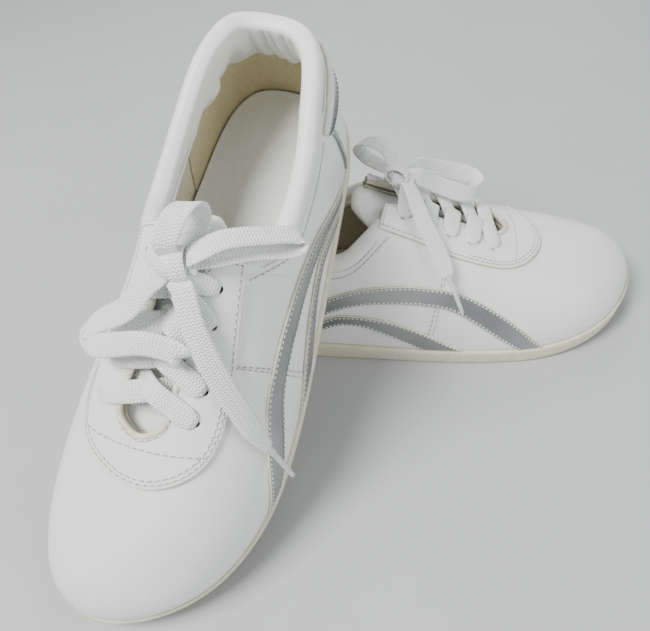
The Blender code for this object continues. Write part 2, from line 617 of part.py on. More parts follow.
def build_upper():
    vamp = vamp_patch()
    stacked = [panel("vamp", "white_leather", VAMP_COLUMNS, ROWS, vamp, 0.0, UPPER)]
    depth = UPPER + 2 * GAP + STIFFENER
    panel("vamp_lining", "beige_lining", VAMP_COLUMNS, ROWS, vamp, -depth, LINING)
    first, last = PUFF_COLUMNS
    panel("toe_puff", "stiffener", last - first, ROWS - 2,
          lambda u, v: vamp((first + u * (last - first)) / VAMP_COLUMNS, v * (ROWS - 2) / ROWS),
          -UPPER - GAP, STIFFENER)
    columns = sum(QUARTER_SHARES)
    for side, name in ((OUTER, "outer"), (INNER, "inner")):
        quarter = quarter_patch(side)
        stacked.append(panel(name + "_quarter", "white_leather", columns, ROWS, quarter, 0.0, UPPER))
        panel(name + "_lining", "beige_lining", columns, ROWS, quarter, -depth, LINING)
    back = back_patch()
    panel("back_panel", "white_leather", BACK_COLUMNS, ROWS, back, 0.0, UPPER)
    panel("heel_counter", "stiffener", BACK_COLUMNS, ROWS - 1, lambda u, v: back(u, v * (ROWS - 1) / ROWS),
          -UPPER - GAP, STIFFENER)
    panel("heel_lining", "khaki_lining", BACK_COLUMNS, ROWS, back, -depth, LINING)
    stay = panel("lace_stay", "white_leather", 18, 3, stay_patch(), STAY_GAP + OVERLAY, OVERLAY)
    panel("heel_tab", "silver_foil", 12, 1, tab_patch(), OVERLAY_GAP + OVERLAY, OVERLAY)
    for name, low, top, columns in (("upper_stripe", STRIPE_HIGH_LOW, STRIPE_HIGH_TOP, 18),
                                    ("lower_stripe", STRIPE_LOW_LOW, STRIPE_LOW_TOP, 11)):
        panel(name, "silver_foil", columns, 1, stripe_patch(low, top), OVERLAY_GAP + OVERLAY, OVERLAY)
    punch_eyelets([stay] + stacked)


def build_collar():
    body_between("collar_cover", "white_leather", COLLAR_COLUMNS, len(COVER_SECTION) - 1,
                 collar_place(COVER_SECTION), collar_place(COVER_SECTION, COVER))
    ring = FOAM_SECTION + FOAM_SECTION[:1]
    bm = bmesh.new()
    bmesh.ops.create_grid(bm, x_segments=COLLAR_COLUMNS, y_segments=len(FOAM_SECTION), size=0.5)
    uv = np.array([vert.co[:2] for vert in bm.verts]) + 0.5
    for vert, place in zip(bm.verts, collar_place(ring)(*uv.T)):
        vert.co = place
    bmesh.ops.remove_doubles(bm, verts=bm.verts, dist=0.01)
    bmesh.ops.holes_fill(bm, edges=bm.edges, sides=0)
    finish(bm, "collar_foam", "foam")


def build_tongue():
    level = -TONGUE_DEPTH
    for name, look, thick in (("tongue_face", "white_leather", 1.2), ("tongue_foam", "foam", 3.2)):
        body_between(name, look, 6, 4, tongue_place(level), tongue_place(level - thick))
        level -= thick + GAP


def punch_eyelets(targets):
    """Round holes for the laces, square to the surface, cut through every sheet under the stay."""
    bm = bmesh.new()
    for x, y in EYELETS_OUTER + EYELETS_INNER:
        low, high = roof(x, y, -8.0)[0], roof(x, y, 4.0)[0]
        turn = Vector(high - low).to_track_quat("Z", "Y").to_matrix().to_4x4()
        bmesh.ops.create_cone(bm, cap_ends=True, segments=6, radius1=EYELET_RADIUS, radius2=EYELET_RADIUS,
                              depth=12, matrix=Matrix.Translation((low + high) / 2) @ turn)
    punch = finish(bm, "punch", None, CUTTERS)
    for target in targets:
        cut(target, punch, "eyelets")


def fused(name, pieces):
    """Pieces that run into each other made one body."""
    first = pieces[0]
    first.name = first.data.name = SHOE["prefix"] + name
    for i, piece in enumerate(pieces[1:]):
        PARTS.objects.unlink(piece)
        CUTTERS.objects.link(piece)
        cut(first, piece, "fuse" + str(i), "UNION")
    return first


def tape(name, route, facing, steps, look="white_tape"):
    """A flat tape along a route; `facing` gives the direction that its face looks at each point."""
    path = curve_through(route, steps + 1)
    along = np.gradient(path, axis=0)
    along /= np.linalg.norm(along, axis=1)[:, None]
    across = np.cross(along, facing(path))
    across /= np.linalg.norm(across, axis=1)[:, None]
    face = np.cross(across, along)

    def skin_of(level):
        def place(u, v):
            at = u * steps
            i = np.clip(np.round(at).astype(int), 0, steps)
            return path[i] + across[i] * ((v - 0.5) * TAPE_WIDTH)[:, None] + face[i] * level
        return place
    return body_between(name, look, steps, 1, skin_of(TAPE_THICK / 2), skin_of(-TAPE_THICK / 2))


def over_last(path):
    """The way up from the instep at each point of a path."""
    return roof(path[:, 0], path[:, 1], 1.0) - roof(path[:, 0], path[:, 1], 0.0)


def over_throat(route, steps):
    """A route of (x, y, height) marks laid over the instep."""
    plan = resample(route, steps + 1)
    return roof(*plan.T)


def build_laces():
    """The lace: crossed rows from eyelet to eyelet, the knot on top, two loops and two loose ends."""
    rows = []
    for starts, ends, level in ((EYELETS_OUTER, EYELETS_INNER, ROW_HEIGHTS[0]),
                                (EYELETS_INNER, EYELETS_OUTER, ROW_HEIGHTS[1])):
        for start, end in zip(starts, ends[1:]):
            rows.append(tape("row", over_throat([(*start, level), (*end, level)], ROW_STEPS), over_last, ROW_STEPS))
        riser = over_throat([(*starts[0], level), (*SHOE["knot"][:2], RISER_HEIGHT)], 2)
        rows.append(tape("riser", riser, over_last, 2))
    bm = bmesh.new()
    bmesh.ops.create_icosphere(bm, subdivisions=2, radius=1.0, matrix=Matrix.Translation(SHOE["knot"])
                               @ Matrix.Diagonal((*KNOT_RADII, 1.0)))
    rows.append(finish(bm, "knot", "white_tape"))
    fused("lacing", rows)
    for name, route in SHOE["routes"].items():
        tape("lace_" + name, route, over_last, 12 if name.endswith("loop") else 9)
        if name.endswith("end"):
            tip(name, route)


def tip(name, route):
    """The clear sleeve on a lace's end, in line with its last stretch."""
    end, before = Vector(route[-1]), Vector(route[-2])
    along = (end - before).normalized()
    start = end + along * GAP * 3
    bm = bmesh.new()
    centre = start + along * TIP_LENGTH / 2
    bmesh.ops.create_cone(bm, cap_ends=True, segments=6, radius1=TIP_RADIUS, radius2=TIP_RADIUS,
                          depth=TIP_LENGTH,
                          matrix=Matrix.Translation(centre) @ along.to_track_quat("Z", "Y").to_matrix().to_4x4())
    finish(bm, "tip_" + name.replace("_end", ""), "clear_tip")


SHOE = {}


def build_shoe(prefix, place, mirrored, knot, routes):
    origin, turn = place
    empty = bpy.data.objects.new(prefix + "shoe", None)
    PARTS.objects.link(empty)
    empty.location = Vector((origin[0] - PAIR_CENTRE[0], origin[1] - PAIR_CENTRE[1], origin[2])) * MM
    empty.rotation_euler = Euler([math.radians(angle) for angle in turn])
    SHOE.update(prefix=prefix, mirrored=mirrored, place=empty, knot=knot, routes=routes)
    build_sole()
    build_upper()
    build_collar()
    build_tongue()
    build_laces()


def main():
    for item in list(bpy.data.objects):
        bpy.data.objects.remove(item)
    for collection in (PARTS, CUTTERS):
        bpy.context.scene.collection.children.link(collection)
    build_shoe("right_", RIGHT_PLACE, False, RIGHT_KNOT, RIGHT_ROUTES)
    build_shoe("left_", LEFT_PLACE, True, LEFT_KNOT, LEFT_ROUTES)
    bpy.context.view_layer.update()


main()
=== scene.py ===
"""The look of a pair of low laced cheer shoes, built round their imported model.

Each shoe is drawn in millimetres in its own axes: X from heel to toe, Y towards the inner ankle and Z up
from the ground. The left shoe is the right one's mirror image, set in its own place.
"""
import math

import bmesh
import bpy
import numpy as np
from mathutils import Euler, Matrix, Vector


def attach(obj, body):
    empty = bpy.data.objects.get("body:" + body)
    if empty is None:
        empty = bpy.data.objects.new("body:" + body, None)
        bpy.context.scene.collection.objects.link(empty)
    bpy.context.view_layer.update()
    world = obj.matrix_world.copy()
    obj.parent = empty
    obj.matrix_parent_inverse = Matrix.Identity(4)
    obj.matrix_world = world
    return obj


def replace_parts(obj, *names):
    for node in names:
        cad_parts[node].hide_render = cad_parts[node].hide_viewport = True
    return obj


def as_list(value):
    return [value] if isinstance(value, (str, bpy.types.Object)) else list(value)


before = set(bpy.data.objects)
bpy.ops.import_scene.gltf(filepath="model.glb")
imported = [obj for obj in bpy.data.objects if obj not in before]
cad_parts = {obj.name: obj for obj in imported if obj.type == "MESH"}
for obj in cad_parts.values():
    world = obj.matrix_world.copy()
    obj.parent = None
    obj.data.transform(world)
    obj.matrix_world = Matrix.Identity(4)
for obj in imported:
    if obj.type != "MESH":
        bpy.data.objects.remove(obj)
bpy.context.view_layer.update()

MM = 0.001

# Where each shoe stands: the ground point under the back of its heel, then roll, pitch and yaw.
PAIR_CENTRE = (112.6, -68.0)
RIGHT_PLACE = ((0.0, 0.0, 0.0), (0.0, 0.0, 0.0))
LEFT_PLACE = ((71.2, 40.1, 109.1), (-7.53, 26.38, -106.62))

# The last. The outline of the sole's edge runs from the heel along the outer side and back by the inner.
OUTLINE = ((0, 0), (4.5, -21), (21, -34), (50, -39), (85, -42), (115, -44.5), (148, -47), (176, -47.5),
           (203, -44.5), (229, -33.5), (247, -14), (254.5, 10), (247, 30), (226, 42), (196, 46),
           (168, 44), (138, 39), (108, 35.5), (80, 33.5), (50, 32), (22, 28.5), (4.5, 18))
CREST = ((0, 104), (50, 104), (75, 99), (100, 91), (125, 80), (150, 67), (180, 54), (200, 48),
         (225, 42), (240, 38.5), (256, 34))
RIDGE_Y = ((60, -4), (110, -8), (165, 0), (200, 2))
RIDGE_CURVE = ((60, 0.004), (108, 0.011), (150, 0.006), (185, 0.004))
FEATHER = ((0, 12), (70, 11.5), (130, 10), (190, 10), (225, 12.5), (256, 18))
REACH = ((0, 27), (60, 29), (120, 31), (180, 33), (225, 31), (256, 30))
FULLNESS = ((0, 2.0), (100, 2.1), (170, 2.4), (256, 2.3))
SPINE_X = ((0, 30), (45, 50), (100, 100), (140, 137), (170, 158), (200, 168), (222, 170))

# Sheet thicknesses, and the clearance between stacked sheets.
UPPER = 1.2
STIFFENER = 0.8
LINING = 0.6
GAP = 0.4
# The gap at a vamp or heel panel's seam, as a share of the outline.
SEAM_GAP = 0.0005

# The pattern: (x, y) marks are seen from above and (x, z) marks from the side.
SEAM_FOOT_X = 137.0
THROAT_OUTER = ((116.5, -15), (125, -12.5), (140, -10.5), (155, -9.5))
THROAT_FRONT = ((155, -9.5), (168, -9), (176, -6.5), (180.5, 1.5), (176, 9.5), (168, 11), (155, 8))
THROAT_INNER = ((155, 8), (140, 5), (125, 2.5), (108, 1))
STAY_OUTER = ((113.5, -25.2), (126, -26), (140, -27), (152, -28), (164, -28))
STAY_FRONT = ((164, -28), (176, -27), (186, -23.5), (194, -16), (198.5, -6), (198.5, 4), (195.5, 12),
              (190.5, 19.5), (183, 25), (171, 27))
STAY_INNER = ((171, 27), (160, 25), (148, 21.5), (134, 17.5), (122, 15), (108, 14.5))
EYELETS_OUTER = ((125, -18.6), (137, -18.6), (148, -19.2), (159, -19.2), (170.5, -18.2))
EYELETS_INNER = ((118, 8.2), (130, 10.4), (142.5, 13.4), (155, 17), (168.5, 19.2))
EYELET_RADIUS = 1.7
COLLAR_OUTER = ((112, 70), (104, 62.9), (97, 59), (88, 57.5), (74, 57.3), (60, 59), (48, 62), (43, 63.5))
COLLAR_INNER = ((106, 68), (99, 61.5), (92, 58.5), (84, 57.5), (72, 57.3), (60, 59), (48, 62), (43, 63.5))
COLLAR_REAR = ((30, 66.5), (14, 67.0))
COLLAR_HEEL = 65.5
BACK_FOOT_X = 36.5
# The heel tab: the first marks of its top, how far the rest lies under the collar's seam, the marks of its
# foot, and the foot's height at the heel.
TAB_FRONT = (50.0, 61.4)
TAB_HIGH = (43, 62.8)
TAB_DROP = 0.8
TAB_FOOT = (46.5, 55.5)
TAB_CORNER = (41.0, 52.0)
TAB_LOW = (22.0, 50.5)
TAB_HEEL = 50.0
# The silver bands on the outer side.
STRIPE_HIGH_TOP = ((48, 16), (60, 25), (72, 34.5), (84, 42.5), (96, 47.5), (108, 50), (120, 50.6),
                   (134, 49.3), (152, 45.2), (164, 39.5), (177, 31), (188, 21.9), (199, 10.8))
STRIPE_HIGH_LOW = ((54, 13), (64, 19.5), (75, 27.5), (86, 34.5), (97, 38.8), (108, 40.5), (120, 41),
                   (134, 40.2), (148.7, 36.5), (161.5, 29), (174.5, 19.5), (186, 10.8))
STRIPE_LOW_TOP = ((58, 14), (68, 20.5), (78, 27), (86, 31), (94, 33), (107, 32.1), (121, 29),
                  (138, 21.8), (151, 14), (157, 10.8))
STRIPE_LOW_LOW = ((66, 12.3), (75, 18), (84, 23.5), (92, 26.5), (100, 26.5), (108, 24.6), (121.6, 18.5),
                  (135.5, 10.8))
# The khaki lining: its front corners on each side, how far up the wall its foot is, its height at the
# heel and the gap behind it.
CLOTH_FOOT = (66, 30)
CLOTH_TOP = (57, 50)
CLOTH_LOW = 0.03
CLOTH_HEEL = 58.0
CLOTH_GAP = 0.15
# The tongue: where it ends behind and in front, how far it lies under the last's surface, its padding.
TONGUE_ENDS = (101.0, 184.0)
TONGUE_DEPTH = 5.1
TONGUE_PAD = 4.5
# The canvas behind the tongue starts just inside the padding and ends behind it.
BACKING_FROM = 4.45
BACKING_TO = 5.0

# The thickness of the collar's skin, and the steps by which each end runs on under the lace stay.
COLLAR_SKIN = 0.7
TUCK_STEPS = 14
TUCK_STEP = 0.8
# The padded collar in section: (height over its seam, depth inwards), from the seam over the edge.
COVER_SECTION = ((0.7, 0.8), (3.8, -0.4), (7.4, 1.2), (8.3, 4.6), (5.8, 8.2), (-6, 9.4), (-19, 6.6))

# Sole stack.
SPRING = ((0, 1.6), (9, 0), (190, 0), (218, 2.0), (240, 5.6), (258, 9.6))
WELL_FLOOR = 4.5
WELL_INSET = 7.0

# Laces, a flat woven tape: (x, y, z) routes in each shoe's own axes.
PLY_PITCH = 1.25
LEFT_KNOT = (123, -5, 89.5)
RIGHT_KNOT = (123.5, 0.5, 91)
LEFT_ROUTES = {
    "outer_loop": ((118.4, -12.9, 93.5), (111.5, -20.4, 92), (105.1, -30.1, 85.5), (100, -38.5, 78.5),
                   (100.4, -41.5, 75.5), (104.5, -38.4, 76), (110.6, -27.4, 82.6), (117.3, -17.4, 87.9)),
    "inner_loop": ((119.5, -3.5, 97.8), (114, -4.5, 100), (108.5, -5.5, 100), (104, -6.5, 97),
                   (102.8, -7.5, 93), (105, -8.5, 90.3), (109.5, -9, 89.6), (112.5, -9.3, 89.7)),
    "outer_end": ((131, -10.5, 87.5), (140.2, -14.8, 81.5), (150.7, -22.3, 72.8), (159.8, -30.6, 62.4),
                  (167.8, -38.5, 51.2), (172.6, -44.3, 41.8)),
    "inner_end": ((132.5, 3.5, 87), (140.6, 9, 83), (146.3, 19, 78.5), (151.6, 25.5, 74), (154.5, 18, 77),
                  (150.5, 3, 78.5), (149.8, -5.5, 78), (150.2, -10, 77.4), (150.8, -12.4, 75.6),
                  (150.8, -10.4, 73.9), (151.2, -6.4, 74)),
}
RIGHT_ROUTES = {
    "outer_loop": ((133.6, 0, 88.8), (138, 2, 85.4), (143.4, 3.8, 81), (151, 4, 77.2), (158, 4.8, 73.8),
                   (164, 8.2, 71.5), (166.5, 13.5, 71.8), (164, 18.2, 74.5), (157, 18.6, 77.6),
                   (149.6, 17.2, 80.4), (141.2, 14, 84.5), (134.5, 9.5, 88.5)),
    "inner_loop": ((118.5, 9, 99.5), (113, 11, 102), (107.5, 14.5, 101), (104.5, 19.5, 96), (105.5, 21, 91),
                   (109, 17.5, 89), (113.5, 12, 89.5)),
    "outer_end": ((129.5, -12, 90), (135.2, -24.4, 79.8), (140.5, -30.6, 70.6), (144.9, -36.2, 61.6),
                  (147, -39, 57)),
    "inner_end": ((124, 11.5, 86.5), (128, 17, 81.5), (134.5, 21.5, 75.2), (143.1, 26.2, 66.7),
                  (147, 34.7, 55), (149.8, 40.8, 43.2)),
}
TIP_LENGTH = 19.0

# How far the overlays stand out, and what only shows: the tape's drawn width, the collar's front ends
# and the tongue's edges.
STAY_TOP = 1.6
STRIPE_TOP = 1.2
TAB_TOP = 1.3
TAPE_SHOWN = 8.8
COLLAR_END = {-1: (118.5, 74.8), 1: (112, 73)}
TONGUE_SHOWN_OUTER = ((100, -24), (108, -25.5), (118, -26), (135, -26), (155, -26), (186, -16))
TONGUE_SHOWN_INNER = ((100, 7), (108, 10), (118, 13), (135, 17), (155, 20), (186, 18))
# The direction in which each loop's width stands.
LEFT_LOOPS = {"outer_loop": (-0.755, 0.599, -0.267), "inner_loop": (-0.258, -0.962, -0.089)}
RIGHT_LOOPS = {"outer_loop": (0.2, 0.5, 0.84), "inner_loop": (-0.706, -0.704, -0.076)}
PIPING = ((41.5, 52.5), (40.2, 45), (38.8, 36), (37.6, 26), (37, 15))
CROSS_SEAM = ((181.8, -24.2), (184, -14), (185, -4), (184.8, 7), (183.4, 17), (181.2, 24.6))
# How far a lower panel runs on under the next one, as a share of the outline, and how deep it lies there.
SEAM_LAP = 0.0022
LAP_DEPTH = 0.12
# How far the side leathers run up under the collar, in millimetres.
COLLAR_LAP = 1.1
# The toe leather's point where the last's two slopes meet, which is smoothed.
TOE_PEAK = (223.7, 9.7, 42.6)

# The floor lies this far under the soles, in metres, so that no two faces coincide.
FLOOR_DROP = 0.0003

# The camera.
CAMERA_PLACE = (-0.000974, -0.183509, 0.264403)
CAMERA_AHEAD = (-0.08603357, 0.67013539, -0.73723591)
CAMERA_RIGHT = (0.99610443, 0.0434903, -0.0767109)
CAMERA_FOCAL = 33.04


def profile(x, knots):
    """A smooth curve through (x, value) knots that never overshoots them."""
    xs, ys = np.array(knots, float).T
    slope = np.diff(ys) / np.diff(xs)
    ends = np.empty_like(ys)
    ends[0], ends[-1] = slope[0], slope[-1]
    product = slope[:-1] * slope[1:]
    ends[1:-1] = np.where(product > 0, 2 * product / (slope[:-1] + slope[1:] + 1e-12), 0)
    x = np.clip(x, xs[0], xs[-1])
    i = np.clip(np.searchsorted(xs, x) - 1, 0, len(xs) - 2)
    h = xs[i + 1] - xs[i]
    t = (x - xs[i]) / h
    rise = ys[i] * (1 + 2 * t) * (1 - t) ** 2 + ys[i + 1] * t * t * (3 - 2 * t)
    return rise + h * (ends[i] * t * (1 - t) ** 2 + ends[i + 1] * t * t * (t - 1))


def closed_spline(points, count):
    """Evenly spaced points on a smooth closed curve through the given ones."""
    p = np.array(points, float)
    n = len(p)
    h = np.linalg.norm(np.roll(p, -1, 0) - p, axis=1) ** 0.5
    matrix, right = np.zeros((n, n)), np.zeros((n, 2))
    for i in range(n):
        j = (i + 1) % n
        matrix[i, i - 1] += h[i - 1]
        matrix[i, i] += 2 * (h[i - 1] + h[i])
        matrix[i, j] += h[i]
        right[i] = 6 * ((p[j] - p[i]) / h[i] - (p[i] - p[i - 1]) / h[i - 1])
    bend = np.linalg.solve(matrix, right)
    fine = []
    for i in range(n):
        j = (i + 1) % n
        u = np.linspace(0, h[i], 160, endpoint=False)[:, None]
        cubic = (h[i] - u) ** 3 / (6 * h[i]) * bend[i] + u ** 3 / (6 * h[i]) * bend[j]
        fine.append(cubic + (p[i] / h[i] - bend[i] * h[i] / 6) * (h[i] - u)
                    + (p[j] / h[i] - bend[j] * h[i] / 6) * u)
    return resample(np.vstack(fine + [p[:1]]), count + 1)[:-1]


def lengths_along(points):
    """The length run up to each point of a polyline."""
    return np.concatenate([[0], np.cumsum(np.linalg.norm(np.diff(points, axis=0), axis=1))])


def read_at(at, run, table):
    """The rows of a table between its own, at lengths of a run."""
    return np.stack([np.interp(at, run, column) for column in table.T], -1)


def directions(vectors):
    """Vectors of length one, from an array whose last axis is (x, y, z)."""
    return vectors / np.linalg.norm(vectors, axis=-1)[..., None]


def resample(points, count):
    """Points evenly spaced by length along a polyline."""
    points = np.asarray(points, float)
    run = lengths_along(points)
    return read_at(np.linspace(0, run[-1], count), run, points)


def curve_through(points, count):
    """A smooth open curve through given points, evenly resampled."""
    p = np.asarray(points, float)
    p = np.vstack([2 * p[0] - p[1], p, 2 * p[-1] - p[-2]])
    fine = []
    for a, b, c, d in zip(p, p[1:], p[2:], p[3:]):
        t = np.linspace(0, 1, 24, endpoint=False)[:, None]
        fine.append(0.5 * (2 * b + (c - a) * t + (2 * a - 5 * b + 4 * c - d) * t ** 2
                           + (3 * b - 3 * c + d - a) * t ** 3))
    return resample(np.vstack(fine + [p[-2:-1]]), count)


RIM_COUNT = 1600
RIM = closed_spline(OUTLINE, RIM_COUNT)
RIM_ALONG = np.roll(RIM, -1, 0) - np.roll(RIM, 1, 0)
RIM_ALONG /= np.linalg.norm(RIM_ALONG, axis=1)[:, None]
RIM_INWARD = np.stack([-RIM_ALONG[:, 1], RIM_ALONG[:, 0]], 1)


def rim_at(p):
    """The outline's point and its inward direction at a fraction p of the way round from the heel."""
    q = (np.asarray(p, float) % 1.0) * RIM_COUNT
    i = np.floor(q).astype(int) % RIM_COUNT
    part = (q - np.floor(q))[..., None]
    j = (i + 1) % RIM_COUNT
    inward = RIM_INWARD[i] * (1 - part) + RIM_INWARD[j] * part
    inward /= np.linalg.norm(inward, axis=-1)[..., None]
    return RIM[i] * (1 - part) + RIM[j] * part, inward


def crest(x, y):
    """Height of the last's top, as if the walls were not rounded."""
    return profile(x, CREST) - profile(x, RIDGE_CURVE) * (y - profile(x, RIDGE_Y)) ** 2


def height(plan, edge_x, cosine):
    """Height of the last over a plan point, from how far its wall has still to turn level."""
    low = profile(edge_x, FEATHER)
    rise = (1 - np.clip(cosine, 0, 1) ** profile(edge_x, FULLNESS)) ** 0.49
    return low + (crest(plan[..., 0], plan[..., 1]) - low) * rise


def skin(p, a):
    """The last's surface: a is 0 at the sole's edge, 1 where the wall has turned level, 2 on the spine."""
    p, a = np.broadcast_arrays(np.asarray(p, float), np.asarray(a, float))
    edge, inward = rim_at(p)
    reach = profile(edge[..., 0], REACH)[..., None]
    cosine = np.cos(np.clip(a, 0, 1) * math.pi / 2)
    plan = edge + inward * reach * (1 - cosine[..., None])
    top = edge + inward * reach
    spine_x = profile(top[..., 0], SPINE_X)
    spine = np.stack([spine_x, profile(spine_x, RIDGE_Y)], -1)
    plan = plan + (spine - top) * np.clip(a - 1, 0, 1)[..., None]
    return np.concatenate([plan, height(plan, edge[..., 0], cosine)[..., None]], -1)


def stand_off(marks, out):
    """Points a distance out from the last's surface, along its normal, at (p, a) marks."""
    p, a = np.asarray(marks, float).T
    a = np.clip(a, 0.0, 1.97)
    step = 0.002
    up_from = np.maximum(a, step)
    along = skin(p + step, a) - skin(p - step, a)
    upwards = skin(p, up_from + step) - skin(p, up_from - step)
    return skin(p, a) + directions(np.cross(along, upwards)) * np.asarray(out, float)[..., None]


def roof(x, y, out):
    """Points standing out from the last over plan positions on the instep."""
    def level(px, py):
        plan = np.stack([px, py], -1)
        gap = np.linalg.norm(plan[:, None] - RIM[None], axis=-1)
        nearest = gap.argmin(1)
        edge_x = RIM[nearest, 0]
        inside = gap[np.arange(len(nearest)), nearest] / profile(edge_x, REACH)
        return height(plan, edge_x, 1 - inside)
    x, y, out = (np.atleast_1d(np.asarray(value, float)) for value in (x, y, out))
    z = level(x, y)
    step = 0.5
    slope_x = (level(x + step, y) - level(x - step, y)) / (2 * step)
    slope_y = (level(x, y + step) - level(x, y - step)) / (2 * step)
    normal = directions(np.stack([-slope_x, -slope_y, np.ones_like(z)], -1))
    return np.stack([x, y, z], -1) + normal * out[:, None]


TABLE_P, TABLE_A = np.meshgrid(np.linspace(0, 1, 1601), np.linspace(0, 1.96, 393), indexing="ij")
TABLE = skin(TABLE_P, TABLE_A)
OUTER, INNER = -1, 1


def on_side(side):
    """The outer side is the first half of the outline, counted from the heel."""
    return (TABLE_P < 0.5) == (side == OUTER)


def seen_from_above(x, y):
    """The (p, a) mark under a plan position."""
    side = OUTER if y < profile(x, RIDGE_Y) else INNER
    miss = (TABLE[..., 0] - x) ** 2 + (TABLE[..., 1] - y) ** 2
    allowed = on_side(side) | (x > SPINE_X[-1][1])
    i = np.unravel_index(np.where(allowed, miss, np.inf).argmin(), miss.shape)
    return TABLE_P[i], TABLE_A[i]


def seen_from_side(side, x, z):
    """The (p, a) mark at this x and height on one side, with p below zero on the inner side."""
    miss = (TABLE[..., 0] - x) ** 2 + (TABLE[..., 2] - z) ** 2
    i = np.unravel_index(np.where(on_side(side) & (TABLE_A < 1.2), miss, np.inf).argmin(), miss.shape)
    return TABLE_P[i] - (side == INNER), TABLE_A[i]


def heel_mark(z):
    """The mark at this height on the back of the heel."""
    a = np.linspace(0, 1.2, 600)
    return 0.0, float(np.interp(z, skin(np.zeros_like(a), a)[:, 2], a))


def foot_mark(side, x):
    """The mark on the sole's edge at this x."""
    return seen_from_side(side, x, profile(x, FEATHER))[0], 0.0


# Millimetres that p and a are about worth, so that a curve through marks bends evenly.
MARK_SCALE = (650, 70)


def line(*stretches):
    """A pattern line of several (share of u, marks) stretches, each smooth and evenly spaced."""
    shares = np.array([share for share, _ in stretches], float)
    shares = np.concatenate([[0], np.cumsum(shares) / shares.sum()])
    tables = []
    for (_, marks), low, high in zip(stretches, shares, shares[1:]):
        marks = curve_through(np.array(marks, float) * MARK_SCALE, 90) / MARK_SCALE
        steps = np.linalg.norm(np.diff(skin(*marks.T), axis=0), axis=1)
        run = np.concatenate([[0], np.cumsum(steps)]) / steps.sum()
        tables.append((low + run * (high - low), marks))
    u = np.concatenate([table[0] for table in tables])
    marks = np.concatenate([table[1] for table in tables])
    return lambda at: read_at(at, u, marks)


def between(*edges):
    """A patch of marks that runs across a row of pattern lines, v from the first to the last."""
    def patch(u, v):
        at = np.clip(v, 0, 1) * (len(edges) - 1)
        i = np.clip(np.floor(at).astype(int), 0, len(edges) - 2)
        rows = np.stack([edge(u) for edge in edges])
        part = (at - i)[:, None]
        pick = np.arange(len(u))
        return rows[i, pick] * (1 - part) + rows[i + 1, pick] * part
    return patch


def level_line(low, high):
    """The line along the sole's edge between two marks on it."""
    return line((1, [(p, 0.0) for p in np.linspace(low[0], high[0], 12)]))


def wrapped(mark):
    """A mark counted from the heel by the outer side, as lines round the toe need."""
    return (mark[0] % 1.0, mark[1])


def swapped(mark):
    """A mark with p below zero on the inner side, as lines round the heel need."""
    return (mark[0] - 1 if mark[0] > 0.5 else mark[0], mark[1])


# The pattern of one shoe.

def mark_line(side, marks):
    """(x, z) marks on one side turned into (p, a) marks."""
    return [seen_from_side(side, x, z) for x, z in marks]


def plan_marks(marks):
    return [seen_from_above(x, y) for x, y in marks]


SEAM_FOOT = {side: foot_mark(side, SEAM_FOOT_X) for side in (OUTER, INNER)}
BACK_FOOT = {side: foot_mark(side, BACK_FOOT_X) for side in (OUTER, INNER)}
BACK_TOP = {OUTER: seen_from_side(OUTER, *COLLAR_OUTER[-1]), INNER: seen_from_side(INNER, *COLLAR_INNER[-1])}
HEEL_TOP = heel_mark(COLLAR_HEEL)


def shifted(marks, by):
    """Marks moved along the outline by a small fraction of it, to leave a seam's gap."""
    return [(p + by, a) for p, a in marks]


def vamp_patch():
    low = level_line(shifted([wrapped(SEAM_FOOT[OUTER])], SEAM_GAP)[0],
                     shifted([wrapped(SEAM_FOOT[INNER])], -SEAM_GAP)[0])
    top = plan_marks(THROAT_FRONT)
    top[0] = shifted(top[:1], SEAM_GAP)[0]
    top[-1] = shifted(top[-1:], -SEAM_GAP)[0]
    return between(low, line((1, top)))


def around_heel(inner_marks, heel, outer_marks):
    return line((1, list(reversed(inner_marks)) + [heel] + list(outer_marks)))


def back_patch():
    low = level_line(shifted([BACK_FOOT[INNER]], SEAM_GAP)[0], shifted([BACK_FOOT[OUTER]], -SEAM_GAP)[0])
    rear = {side: mark_line(side, COLLAR_REAR) for side in (OUTER, INNER)}
    top = around_heel(rear[INNER][::-1] + shifted([BACK_TOP[INNER]], SEAM_GAP), HEEL_TOP,
                      rear[OUTER][::-1] + shifted([BACK_TOP[OUTER]], -SEAM_GAP))
    return between(low, top)


def tab_patch():
    """The heel tab: under the collar's seam, from one ankle round the heel to the other."""
    top = {side: mark_line(side, [TAB_FRONT, TAB_HIGH] + [(x, z - TAB_DROP) for x, z in COLLAR_REAR])
           for side in (OUTER, INNER)}
    low = {side: mark_line(side, [TAB_FOOT, TAB_CORNER, TAB_LOW]) for side in (OUTER, INNER)}
    return between(around_heel(low[INNER][::-1], heel_mark(TAB_HEEL), low[OUTER][::-1]),
                   around_heel(top[INNER][::-1], heel_mark(COLLAR_HEEL - TAB_DROP), top[OUTER][::-1]))


def heel_cloth_patch():
    """The khaki lining, from just over the sole's edge to just under the collar."""
    low = {side: [(mark_line(side, [CLOTH_FOOT])[0][0], CLOTH_LOW)] for side in (OUTER, INNER)}
    top = {side: mark_line(side, [CLOTH_TOP]) for side in (OUTER, INNER)}
    return between(around_heel(low[INNER], (0.0, CLOTH_LOW), low[OUTER]),
                   around_heel(top[INNER], heel_mark(CLOTH_HEEL), top[OUTER]))


def stripe_patch(low, top):
    return between(line((1, mark_line(OUTER, low))), line((1, mark_line(OUTER, top))))


# ---------------------------------------------------------------- materials

